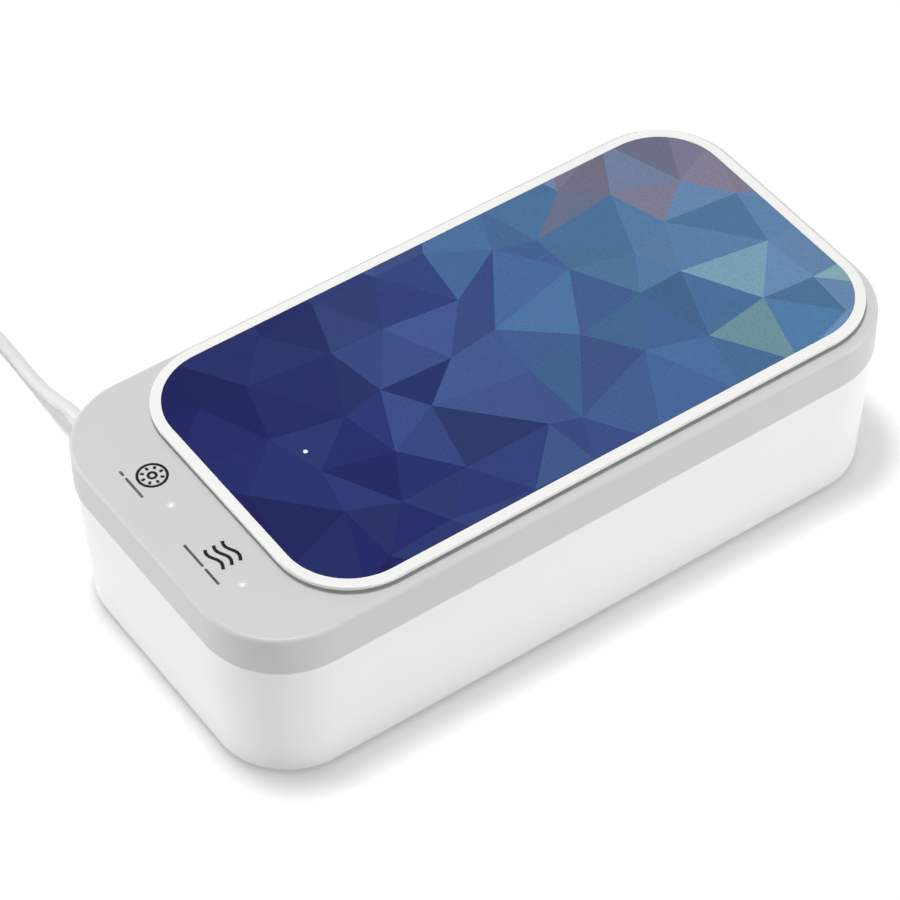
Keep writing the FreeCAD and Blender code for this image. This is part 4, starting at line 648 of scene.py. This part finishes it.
class SANITIZER_OT_plugs(bpy.types.Operator):
    """Plug in the box, far plug and the strap round the coil"""
    bl_idname = "sanitizer.plugs"
    bl_label = "Plugs and strap"

    def grip(self, name, node, grip, corner, material):
        """Moulded grip with rounded edges, and the tapered strain relief behind it."""
        low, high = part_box(node)
        middle = (low + high) / 2
        width, height = high.x - low.x, high.z - low.z
        cord = bpy.context.scene.sanitizer_cord.diameter / 2
        rings = []
        for along, inset in GRIP_FRONT + tuple((grip / MM - back, inset) for back, inset in GRIP_BACK):
            size = Vector((width, height)) - Vector((2, 2)) * inset * MM
            bend = max(corner - inset * MM / 2, corner * GRIP_CORNER_KEPT)
            ring = rounded_outline(*size, bend, ROUND_STEPS)
            rings.append([Vector((middle.x + p.x, low.y + along * MM, middle.z + p.y)) for p in ring])
        relief = high.y - low.y - grip
        angles = [self.matching_angle(i) for i in range(len(rings[0]))]
        for share, radius in RELIEF_TAPER:
            y = low.y + grip + relief * share
            rings.append([Vector((middle.x + cord * radius * math.cos(angle), y,
                                  middle.z + cord * radius * math.sin(angle))) for angle in angles])
        made = piece(name, loft(name, rings), material, "base")
        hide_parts(node)
        return made

    def matching_angle(self, i):
        """Angle of a round ring's point that lines up with the same point of a rounded rectangle."""
        turn, step = divmod(i, ROUND_STEPS + 1)
        return math.pi / 2 * (turn + (step + 0.5) / (ROUND_STEPS + 1))

    def ribs(self, name, node, grip, collars, material):
        """Ridges across both faces of a grip, and any collars round its strain relief."""
        settings = bpy.context.scene.sanitizer_cord
        low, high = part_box(node)
        middle = (low + high) / 2
        tree, values = geometry_tree(name, {
            "Ridges": "Int", "Pitch": "Float", "Width": "Float", "Faces": "Float", "Collars": "Int",
            "Collar pitch": "Float", "Collar radius": "Float", "Collar taper": "Float", "Section": "Float",
            "Grip place": "Vector", "Relief place": "Vector", "Material": "Material"})
        section = add(tree, "GeometryNodeCurvePrimitiveCircle",
                      {"Resolution": 8, "Radius": values["Section"]}, mode="RADIUS").outputs["Curve"]
        ends = []
        for share in (0.5, -0.5):
            across = add(tree, "ShaderNodeMath", {0: values["Width"], 1: share}, operation="MULTIPLY")
            ends.append(add(tree, "ShaderNodeCombineXYZ", {"X": across.outputs["Value"]}).outputs["Vector"])
        line = add(tree, "GeometryNodeCurvePrimitiveLine", {"Start": ends[0], "End": ends[1]})
        ridge = add(tree, "GeometryNodeCurveToMesh", {
            "Curve": line.outputs["Curve"], "Profile Curve": section, "Fill Caps": True})
        pitch = add(tree, "ShaderNodeCombineXYZ", {"Y": values["Pitch"]})
        row = add(tree, "GeometryNodeMeshLine", {
            "Count": values["Ridges"], "Start Location": values["Grip place"],
            "Offset": pitch.outputs["Vector"]})
        ridges = add(tree, "GeometryNodeInstanceOnPoints", {
            "Points": row.outputs["Mesh"], "Instance": ridge.outputs["Mesh"]})
        joined = add(tree, "GeometryNodeJoinGeometry")
        for side in (1.0, -1.0):
            height = add(tree, "ShaderNodeMath", {0: values["Faces"], 1: side}, operation="MULTIPLY")
            lift = add(tree, "ShaderNodeCombineXYZ", {"Z": height.outputs["Value"]})
            face = add(tree, "GeometryNodeTransform", {
                "Geometry": ridges.outputs["Instances"], "Translation": lift.outputs["Vector"]})
            tree.links.new(face.outputs["Geometry"], joined.inputs["Geometry"])
        hoop = add(tree, "GeometryNodeCurvePrimitiveCircle",
                   {"Resolution": HOOP_STEPS, "Radius": values["Collar radius"]}, mode="RADIUS")
        collar = add(tree, "GeometryNodeCurveToMesh", {
            "Curve": hoop.outputs["Curve"], "Profile Curve": section})
        upright = add(tree, "GeometryNodeTransform", {
            "Geometry": collar.outputs["Mesh"], "Rotation": (math.pi / 2, 0, 0)})
        step = add(tree, "ShaderNodeCombineXYZ", {"Y": values["Collar pitch"]})
        spots = add(tree, "GeometryNodeMeshLine", {
            "Count": values["Collars"], "Start Location": values["Relief place"],
            "Offset": step.outputs["Vector"]})
        order = add(tree, "GeometryNodeInputIndex").outputs["Index"]
        shrink = add(tree, "ShaderNodeMath", {0: order, 1: values["Collar taper"]}, operation="MULTIPLY")
        scale = add(tree, "ShaderNodeMath", {0: 1.0, 1: shrink.outputs["Value"]}, operation="SUBTRACT")
        hoops = add(tree, "GeometryNodeInstanceOnPoints", {
            "Points": spots.outputs["Mesh"], "Instance": upright.outputs["Geometry"],
            "Scale": scale.outputs["Value"]})
        tree.links.new(hoops.outputs["Instances"], joined.inputs["Geometry"])
        close_tree(tree, joined.outputs["Geometry"], values["Material"])
        relief = high.y - low.y - grip
        first = low.y + grip / 2 - (settings.ridges - 1) * RIDGE_PITCH / 2
        mesh = grown_mesh(tree, {
            "Ridges": settings.ridges, "Pitch": RIDGE_PITCH, "Width": (high.x - low.x) * RIDGE_SHARE,
            "Faces": (high.z - low.z) / 2 + RIB_RISE - RIB_RADIUS, "Collars": collars,
            "Collar pitch": relief / (collars + COLLAR_SPARE),
            "Collar radius": settings.diameter * COLLAR_REACH, "Collar taper": COLLAR_TAPER,
            "Section": RIB_RADIUS, "Grip place": Vector((middle.x, first, middle.z)),
            "Relief place": Vector((middle.x, low.y + grip + relief * COLLAR_START, middle.z)),
            "Material": material})
        return piece(name, mesh, material, "base")

    def strap(self, material):
        """Flat strap round the coil's turns."""
        low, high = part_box("cord_tie")
        middle = (low + high) / 2
        half = (high.x - low.x) / 2
        path = rounded_outline(high.y - low.y - STRAP_THICK, high.z - low.z - STRAP_THICK, STRAP_CORNER,
                               ROUND_STEPS)
        rings = []
        for i, point in enumerate(path):
            along = path[(i + 1) % len(path)] - path[i - 1]
            out = Vector((along.y, -along.x)).normalized()
            rings.append([Vector((middle.x + across * half,
                                  middle.y + point.x + out.x * share * STRAP_THICK,
                                  middle.z + point.y + out.y * share * STRAP_THICK))
                          for across, share in STRAP_SECTION])
        made = piece("coil_strap", loft("coil_strap", rings, closed=True), material, "base")
        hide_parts("cord_tie")
        return made

    def execute(self, context):
        settings = context.scene.sanitizer_cord
        # Overmoulded soft PVC grips: white, matt spark finish that hides finger marks
        soft = moulded("overmoulded_soft_pvc", settings.jacket[:], roughness=0.5, grain=0.8, depth=0.04)
        # Nickel-plated drawn shells: bright, with faint lines along the draw
        plated = worked_metal("nickel_plated_shell", linear("#c9c6bf"), roughness=0.17, stretch=(1, 0.08, 1),
                              line=0.4, depth=0.004)
        dress(plated, "power_plug_shell", "usb_plug_shell")
        parts = [self.grip("box_plug_grip", "power_plug", settings.near_grip, settings.near_corner, soft),
                 self.ribs("box_plug_ribs", "power_plug", settings.near_grip, 0, soft),
                 self.grip("far_plug_grip", "usb_plug", settings.far_grip, settings.far_corner, soft),
                 self.ribs("far_plug_ribs", "usb_plug", settings.far_grip, settings.collars, soft),
                 self.strap(woven_strap(settings.strap[:]))]
        parts += [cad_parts[name] for name in ("power_plug_shell", "usb_plug_shell")]
        return {"FINISHED"}


class SANITIZER_OT_case(bpy.types.Operator):
    """Base, lid, pad rim, feet and the lid's inside"""
    bl_idname = "sanitizer.case"
    bl_label = "Case"

    def execute(self, context):
        settings = context.scene.sanitizer_case
        # Moulded ABS off a polished tool: white, half gloss, a faint orange peel
        dress(moulded("polished_white_abs", settings.base[:], roughness=0.37, grain=3.0, depth=0.004),
              "base_shell", "bottom_cover")
        # Moulded ABS off a lightly blasted tool: grey, satin, so the light lies on it softly
        dress(moulded("satin_grey_abs", settings.lid[:], roughness=0.42, grain=0.6, depth=0.02, drift=0.03),
              "lid_cover")
        # The same ABS, white, off a satin tool
        dress(moulded("satin_white_abs", settings.rim[:], roughness=0.36, grain=0.8, depth=0.015, drift=0.02),
              "pad_frame")
        # Moulded ABS of the inside: white with a fine texture
        dress(moulded("textured_white_abs", settings.liner[:], roughness=0.5, grain=0.9, depth=0.05),
              "lid_liner")
        # Pressed nitrile rubber: grey, matt, slightly dusty
        dress(moulded("nitrile_rubber", settings.rubber[:], roughness=0.8, grain=0.7, depth=0.08, drift=0.12),
              "feet")
        # Moulded silicone: milky white, soft sheen
        dress(moulded("white_silicone", linear("#dcdedb"), roughness=0.55, grain=1.5, depth=0.03, drift=0.06,
                      Subsurface_Weight=0.1, Subsurface_Scale=1.5 * MM), "lid_seal", "tank_gasket")
        return {"FINISHED"}


class SANITIZER_OT_panel(bpy.types.Operator):
    """Printed panel of the pad, with a print of blue facets"""
    bl_idname = "sanitizer.panel"
    bl_label = "Printed panel"

    def tint(self, settings, place, chance):
        """Ink of a facet: darkest at the button end, palest at the far end, with a few accents."""
        inks = [Vector(ink[:3]) for ink in (settings.navy, settings.royal, settings.middle, settings.teal,
                                            settings.pale)]
        along = min(max(place.x + chance.uniform(-INK_STRAY, INK_STRAY), 0), LAST_INK) * (len(inks) - 1)
        first = int(along)
        ink = inks[first].lerp(inks[first + 1], along - first)
        if place.x > MAUVE_FROM and place.x + place.y > MAUVE_CORNER:
            ink = ink.lerp(Vector(settings.mauve[:3]), chance.uniform(*MAUVE_MIX))
        elif place.x > MINT_FROM and chance.random() < MINT_CHANCE:
            ink = ink.lerp(Vector(settings.mint[:3]), chance.uniform(*MINT_MIX))
        return (*(ink * chance.uniform(*INK_SHADES)), 1.0)

    def facets(self, settings, size, chance):
        """Corners and triangles of a scattered grid that covers the panel."""
        columns = round(size.x / settings.facet) + 2
        rows = round(size.y / settings.facet) + 2
        step = Vector((size.x / (columns - 2), size.y / (rows - 2)))
        corners = []
        for row in range(rows + 1):
            for column in range(columns + 1):
                shift = ROW_SHIFT if row % 2 else 0
                stray = [chance.uniform(-settings.scatter, settings.scatter) for axis in "xy"]
                corners.append(Vector(((column + shift + stray[0] - columns / 2 - ROW_SHIFT / 2) * step.x,
                                       (row + stray[1] - rows / 2) * step.y)))
        triangles = []
        for row in range(rows):
            for column in range(columns):
                a = row * (columns + 1) + column
                b = a + columns + 1
                if row % 2:
                    triangles += [(a, a + 1, b + 1), (a, b + 1, b)]
                else:
                    triangles += [(a, a + 1, b), (a + 1, b + 1, b)]
        return corners, triangles

    def execute(self, context):
        settings = context.scene.sanitizer_panel
        chance = random.Random(settings.seed)
        low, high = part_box("pad_panel")
        middle, size = (low + high) / 2, high - low
        corners, triangles = self.facets(settings, size, chance)
        inks = []
        for triangle in triangles:
            place = sum((corners[i] for i in triangle), Vector((0, 0))) / 3
            inks.append(self.tint(settings, Vector((place.x / size.x + 0.5, place.y / size.y + 0.5)), chance))
        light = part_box("charge_light")
        hole = (light[0] + light[1]) / 2 - middle
        outline = rounded_outline(size.x, size.y, settings.corner, 3 * ROUND_STEPS)
        ring = [p + hole.xy for p in rounded_outline(2 * settings.light_hole, 2 * settings.light_hole,
                                                     settings.light_hole * HOLE_CORNER, ROUND_STEPS)]
        shapes = list(triangles)
        points = list(corners)
        for loop in (outline, ring):
            shapes.append(tuple(range(len(points), len(points) + len(loop))))
            points += loop
        points, _, faces, _, _, faces_from = delaunay_2d_cdt(points, [], shapes, 0, CUT_TOLERANCE)
        inside, cut_out = len(triangles), len(triangles) + 1
        shape = bmesh.new()
        paint = shape.loops.layers.float_color.new("print_colour")
        used = {}
        tops = []
        for face, sources in zip(faces, faces_from):
            inked = [i for i in sources if i < inside]
            if inside not in sources or cut_out in sources or not inked:
                continue
            for i in face:
                if i not in used:
                    used[i] = shape.verts.new((middle.x + points[i].x, middle.y + points[i].y, high.z))
            top = shape.faces.new([used[i] for i in face])
            for loop in top.loops:
                loop[paint] = inks[inked[0]]
            tops.append(top)
        under = bmesh.ops.extrude_face_region(shape, geom=tops, use_keep_orig=True)["geom"]
        for vert in [item for item in under if isinstance(item, bmesh.types.BMVert)]:
            vert.co.z = low.z
        bmesh.ops.recalc_face_normals(shape, faces=shape.faces)
        mesh = bpy.data.meshes.new("printed_panel")
        shape.to_mesh(mesh)
        shape.free()
        made = piece("printed_panel", mesh, printed_film(), "lid")
        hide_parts("pad_panel")
        return {"FINISHED"}


class SANITIZER_OT_symbols(bpy.types.Operator):
    """Printed sun and waves of the touch keys, and the plain bars beside them"""
    bl_idname = "sanitizer.symbols"
    bl_label = "Touch symbols"

    def sun(self, settings, place, ink):
        """Two rings, with rays between them."""
        tree, values = geometry_tree("sun_symbol", {
            "Diameter": "Float", "Line": "Float", "Disc": "Float", "Rays": "Int", "Ray start": "Float",
            "Ray": "Float", "Thickness": "Float", "Place": "Vector", "Material": "Material"})
        section = add(tree, "GeometryNodeCurvePrimitiveQuadrilateral",
                      {"Width": values["Line"], "Height": values["Thickness"]},
                      mode="RECTANGLE").outputs["Curve"]
        joined = add(tree, "GeometryNodeJoinGeometry")
        for across in ("Diameter", "Disc"):
            inner = add(tree, "ShaderNodeMath", {0: values[across], 1: values["Line"]}, operation="SUBTRACT")
            radius = add(tree, "ShaderNodeMath", {0: inner.outputs["Value"], 1: 0.5}, operation="MULTIPLY")
            circle = add(tree, "GeometryNodeCurvePrimitiveCircle",
                         {"Resolution": RING_STEPS, "Radius": radius.outputs["Value"]}, mode="RADIUS")
            ring = add(tree, "GeometryNodeCurveToMesh", {"Curve": circle.outputs["Curve"],
                                                         "Profile Curve": section})
            tree.links.new(ring.outputs["Mesh"], joined.inputs["Geometry"])
        size = add(tree, "ShaderNodeCombineXYZ", {"X": values["Ray"], "Y": values["Line"],
                                                  "Z": values["Thickness"]})
        ray = add(tree, "GeometryNodeMeshCube", {"Size": size.outputs["Vector"]})
        half = add(tree, "ShaderNodeMath", {0: values["Ray"], 1: 0.5, 2: values["Ray start"]},
                   operation="MULTIPLY_ADD")
        spots = add(tree, "GeometryNodeMeshCircle", {"Vertices": values["Rays"],
                                                     "Radius": half.outputs["Value"]})
        away = add(tree, "GeometryNodeInputPosition")
        turn = add(tree, "FunctionNodeAlignRotationToVector", {"Vector": away.outputs["Position"]}, axis="X")
        rays = add(tree, "GeometryNodeInstanceOnPoints", {"Points": spots.outputs["Mesh"],
                                                          "Instance": ray.outputs["Mesh"],
                                                          "Rotation": turn.outputs["Rotation"]})
        tree.links.new(rays.outputs["Instances"], joined.inputs["Geometry"])
        placed = add(tree, "GeometryNodeTransform", {"Geometry": joined.outputs["Geometry"],
                                                     "Translation": values["Place"]})
        close_tree(tree, placed.outputs["Geometry"], values["Material"])
        mesh = grown_mesh(tree, {
            "Diameter": settings.sun, "Line": settings.sun_line, "Disc": settings.sun_disc,
            "Rays": settings.rays, "Ray start": settings.ray_from, "Ray": settings.ray,
            "Thickness": settings.thickness, "Place": place, "Material": ink})
        piece("sun_symbol", mesh, ink, "lid")

    def waves(self, settings, place, ink):
        """Wave lines side by side."""
        tree, values = geometry_tree("wave_symbol", {
            "Length": "Float", "Line": "Float", "Swing": "Float", "Period": "Float", "Start": "Float",
            "Waves": "Int", "Spacing": "Float", "Thickness": "Float", "Place": "Vector",
            "Material": "Material"})
        section = add(tree, "GeometryNodeCurvePrimitiveQuadrilateral",
                      {"Width": values["Line"], "Height": values["Thickness"]},
                      mode="RECTANGLE").outputs["Curve"]
        half = add(tree, "ShaderNodeMath", {0: values["Length"], 1: 0.5},
                   operation="MULTIPLY").outputs["Value"]
        start = add(tree, "ShaderNodeCombineXYZ", {"Y": half}).outputs["Vector"]
        end = add(tree, "ShaderNodeVectorMath", {0: start, "Scale": -1.0},
                  operation="SCALE").outputs["Vector"]
        line = add(tree, "GeometryNodeCurvePrimitiveLine", {"Start": start, "End": end}).outputs["Curve"]
        fine = add(tree, "GeometryNodeResampleCurve", {"Curve": line, "Count": WAVE_STEPS}).outputs["Curve"]
        along = add(tree, "GeometryNodeSplineParameter").outputs["Length"]
        periods = add(tree, "ShaderNodeMath", {0: along, 1: values["Period"]},
                      operation="DIVIDE").outputs["Value"]
        angle = add(tree, "ShaderNodeMath", {0: periods, 1: math.tau, 2: values["Start"]},
                    operation="MULTIPLY_ADD").outputs["Value"]
        sine = add(tree, "ShaderNodeMath", {0: angle}, operation="SINE").outputs["Value"]
        across = add(tree, "ShaderNodeMath", {0: sine, 1: values["Swing"]},
                     operation="MULTIPLY").outputs["Value"]
        swing = add(tree, "ShaderNodeCombineXYZ", {"X": across}).outputs["Vector"]
        bent = add(tree, "GeometryNodeSetPosition", {"Geometry": fine, "Offset": swing}).outputs["Geometry"]
        wave = add(tree, "GeometryNodeCurveToMesh", {"Curve": bent, "Profile Curve": section,
                                                     "Fill Caps": True}).outputs["Mesh"]
        step = add(tree, "ShaderNodeCombineXYZ", {"X": values["Spacing"]}).outputs["Vector"]
        row = add(tree, "GeometryNodeMeshLine", {"Count": values["Waves"], "Start Location": values["Place"],
                                                 "Offset": step}).outputs["Mesh"]
        waves = add(tree, "GeometryNodeInstanceOnPoints",
                    {"Points": row, "Instance": wave}).outputs["Instances"]
        close_tree(tree, waves, values["Material"])
        first = place - Vector((settings.spacing * (settings.waves - 1) / 2, 0, 0))
        mesh = grown_mesh(tree, {
            "Length": settings.wave, "Line": settings.wave_line, "Swing": settings.swing,
            "Period": settings.period, "Start": settings.wave_start, "Waves": settings.waves,
            "Spacing": settings.spacing, "Thickness": settings.thickness, "Place": first, "Material": ink})
        piece("wave_symbol", mesh, ink, "lid")

    def bars(self, settings, name, x, bars, top, ink):
        """Row of plain printed bars with round ends, each given by its ends along Y in millimetres."""
        runs = []
        for start, end in bars:
            outline = rounded_outline(settings.bar, abs(end - start) * MM, settings.bar * BAR_CORNER,
                                      ROUND_STEPS)
            middle = Vector((x, (start + end) / 2 * MM))
            runs.append([[Vector((*(middle + point), z)) for point in outline]
                         for z in (top, top + settings.thickness)])
        piece(name, loft(name, *runs), ink, "lid")

    def execute(self, context):
        settings = context.scene.sanitizer_symbols
        low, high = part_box("touch_pads")
        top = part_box("indicator_lights")[1].z
        reach = (high.x - low.x) / 2
        x = low.x + reach
        ink = symbol_ink("pad_printed_ink", settings.ink[:])
        grey = symbol_ink("pad_printed_grey", settings.label[:])
        rise = top + settings.thickness / 2
        self.sun(settings, Vector((x, high.y - reach, rise)), ink)
        self.waves(settings, Vector((x, low.y + reach, rise)), ink)
        for name, (away, bars) in (("sun_label", SUN_BARS), ("wave_label", WAVE_BARS)):
            self.bars(settings, name, x - away * MM, bars, top, grey)
        return {"FINISHED"}


class SANITIZER_OT_lights(bpy.types.Operator):
    """Lit pipes of the two indicators and of the charge light, with a painted halo of light round them on the
    lid
    """
    bl_idname = "sanitizer.lights"
    bl_label = "Indicator lights"

    def pipe(self, centre, bottom, flange, radius, top):
        """Rings of a flanged light pipe with a slightly domed end."""
        step = bottom + FLANGE_THICK
        profile = [(flange, bottom), (flange, step), (radius, step)]
        profile += [(radius * share, top - drop * MM) for share, drop in PIPE_DOME]
        turns = [math.tau * i / HOOP_STEPS for i in range(HOOP_STEPS)]
        return [[Vector((centre.x + reach * math.cos(a), centre.y + reach * math.sin(a), z)) for a in turns]
                for reach, z in profile]

    def execute(self, context):
        settings = context.scene.sanitizer_symbols
        lit = milky_acrylic()
        low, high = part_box("indicator_lights")
        flange = (high.x - low.x) / 2
        centres = [Vector((low.x + flange, y, high.z)) for y in (high.y - flange, low.y + flange)]
        pipes = [self.pipe(centre, low.z, flange, settings.light, high.z) for centre in centres]
        made = piece("indicator_pipes", loft("indicator_pipes", *pipes), lit, "lid")
        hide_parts("indicator_lights")
        low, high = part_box("charge_light")
        flange = (high.x - low.x) / 2
        middle = Vector((low.x + flange, low.y + flange, high.z))
        run = self.pipe(middle, low.z, flange, settings.charge_light, high.z)
        made = piece("charge_pipe", loft("charge_pipe", run), lit, "lid")
        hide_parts("charge_light")
        # The pipes glow as lit lamps. The same glow on the lid's grey skin round them is a painted halo of
        # light
        for material in (lit, bpy.data.materials["satin_grey_abs"]):
            lamp_glow_and_painted_halo(material, [*centres, middle], settings.glow, settings.glow_strength)
        return {"FINISHED"}


class SANITIZER_OT_tank(bpy.types.Operator):
    """Steel tank, its bezel and the transducer under it"""
    bl_idname = "sanitizer.tank"
    bl_label = "Tank"

    def execute(self, context):
        # Deep-drawn stainless sheet, brushed along the tank: bright, with lines that run lengthways
        dress(worked_metal("brushed_stainless", linear("#c6c8ca"), roughness=0.38, stretch=(0.05, 1, 1),
                           line=0.5, depth=0.006), "tank")
        # Moulded acetal trim: grey-white, waxy
        dress(moulded("moulded_acetal", linear("#d9dad7"), roughness=0.4, grain=1.0, depth=0.02),
              "tank_bezel", "hinge_bush")
        # Fired piezo ceramic: sand colour, dull, fine grained
        dress(sintered("piezo_ceramic", "#c9b58c", "#b7a174", roughness=0.6, grain=0.4), "piezo_disc")
        # Extruded PVC insulation of the leads: black, half gloss
        dress(moulded("black_wire_pvc", linear("#26272a"), roughness=0.4, grain=1.0, depth=0.03),
              "piezo_leads", "harness_base", "harness_lid")
        return {"FINISHED"}


class SANITIZER_OT_lamps(bpy.types.Operator):
    """Ultraviolet lamps behind their window in the lid"""
    bl_idname = "sanitizer.lamps"
    bl_label = "Lamps"

    def execute(self, context):
        dress(quartz_glass(), "uv_window")
        # Polished rolled aluminium: mirror-like, faint rolling lines
        dress(worked_metal("polished_aluminium", linear("#d8dadb"), roughness=0.16, stretch=(0.1, 1, 1),
                           line=0.8, depth=0.003), "uv_reflector")
        # Sintered alumina lamp bodies: white, eggshell
        dress(sintered("lamp_alumina", "#f2efe6", "#e4dfd0", roughness=0.5, grain=0.3), "uv_leds")
        # White solder resist on an aluminium board
        dress(solder_resist("white_solder_resist", "#e9ebea", "#dfe2e1"), "uv_board", "indicator_leds")
        return {"FINISHED"}


class SANITIZER_OT_electronics(bpy.types.Operator):
    """Boards, their parts, the charging coil, the magnet and its sensor"""
    bl_idname = "sanitizer.electronics"
    bl_label = "Electronics"

    def execute(self, context):
        dress(solder_resist("green_solder_resist", "#1f5b39", "#2f7549"), "main_board", "sensor_board",
              "touch_board", "charger_board")
        # Transfer-moulded epoxy of chips: black, matt
        dress(moulded("black_moulded_epoxy", linear("#1c1d1f"), roughness=0.6, grain=0.4, depth=0.02,
                      drift=0.15), "power_transistor", "hall_sensor", "charger_parts")
        # Ferrite core and bobbin under dipped varnish: dark grey, half gloss
        dress(sintered("varnished_ferrite", "#3a3b3e", "#2b2c2f", roughness=0.4, grain=0.3),
              "driver_transformer")
        # Pressed ferrite: dark grey, dull
        dress(sintered("pressed_ferrite", "#4b4c50", "#3d3e42", roughness=0.65, grain=0.3), "ferrite_plate")
        # Shrunk sleeve of the capacitors: deep blue, glossy
        dress(moulded("shrunk_blue_sleeve", linear("#22365f"), roughness=0.19, grain=2.5, depth=0.03),
              "capacitors")
        # Extruded aluminium, anodised in a thin black dye: grey, fine lines along the fins
        dress(worked_metal("anodised_aluminium", linear("#7c8084"), roughness=0.42, stretch=(1, 1, 0.06),
                           line=0.4, depth=0.01), "heat_sink")
        # Moulded nylon headers: natural white, waxy
        dress(moulded("natural_nylon", linear("#e6e1d2"), roughness=0.42, grain=0.6, depth=0.02),
              "board_connectors")
        # Stamped nickel-plated socket shell
        dress(worked_metal("stamped_nickel", linear("#c4c2bb"), roughness=0.38, stretch=(1, 0.1, 1), line=0.5,
                           depth=0.005), "power_socket")
        # Sintered magnet under nickel plate: bright, slightly pebbled
        dress(worked_metal("nickel_plated_magnet", linear("#b9b9b6"), roughness=0.17, stretch=(1, 1, 1),
                           line=0.6, depth=0.01), "lid_magnet")
        # Printed conductive foam under the keys: black, open
        dress(moulded("conductive_foam", linear("#2a2a2c"), roughness=0.9, grain=0.5, depth=0.2, drift=0.2),
              "touch_pads")
        dress(wound_copper(), "charging_coil")
        return {"FINISHED"}


class SANITIZER_OT_fasteners(bpy.types.Operator):
    """Screws and hinge pins"""
    bl_idname = "sanitizer.fasteners"
    bl_label = "Fasteners"

    def execute(self, context):
        # Rolled, zinc-plated steel screws: pale grey with a faint blue cast
        dress(worked_metal("zinc_plated_steel", linear("#b4b8bc"), roughness=0.38, stretch=(1, 1, 0.2),
                           line=0.3, depth=0.006),
              "case_screws", "board_screws", "liner_screws", "lid_board_screws")
        # Ground stainless pins: bright, fine lines round them
        dress(worked_metal("ground_stainless", linear("#c2c4c6"), roughness=0.17, stretch=(0.1, 1, 1),
                           line=0.2, depth=0.003), "hinge_pin_left", "hinge_pin_right")
        return {"FINISHED"}


OPERATORS = (
    SANITIZER_OT_stage, SANITIZER_OT_cord, SANITIZER_OT_plugs, SANITIZER_OT_case, SANITIZER_OT_panel,
    SANITIZER_OT_symbols, SANITIZER_OT_lights, SANITIZER_OT_tank, SANITIZER_OT_lamps,
    SANITIZER_OT_electronics, SANITIZER_OT_fasteners)
SETTINGS = {"sanitizer_stage": StageSettings, "sanitizer_cord": CordSettings, "sanitizer_case": CaseSettings,
            "sanitizer_panel": PanelSettings, "sanitizer_symbols": SymbolSettings}


class SANITIZER_PT_sidebar(bpy.types.Panel):
    """Steps and sizes of the sanitizer box"""
    bl_label = "Sanitizer box"
    bl_idname = "SANITIZER_PT_sidebar"
    bl_space_type = "VIEW_3D"
    bl_region_type = "UI"
    bl_category = "Sanitizer"

    def draw(self, context):
        for step in OPERATORS:
            self.layout.operator(step.bl_idname)
        for name, group in SETTINGS.items():
            box = self.layout.box()
            for key in group.__annotations__:
                box.prop(getattr(context.scene, name), key)


def register():
    for group in (*SETTINGS.values(), *OPERATORS, SANITIZER_PT_sidebar):
        bpy.utils.register_class(group)
    for name, group in SETTINGS.items():
        setattr(bpy.types.Scene, name, PointerProperty(type=group))


def unregister():
    for name in SETTINGS:
        delattr(bpy.types.Scene, name)
    for group in (SANITIZER_PT_sidebar, *reversed(OPERATORS), *SETTINGS.values()):
        bpy.utils.unregister_class(group)


def main():
    """Dresses the box step by step."""
    register()
    for step in OPERATORS:
        family, name = step.bl_idname.split(".")
        getattr(getattr(bpy.ops, family), name)()


if __name__ == "__main__":
    main()
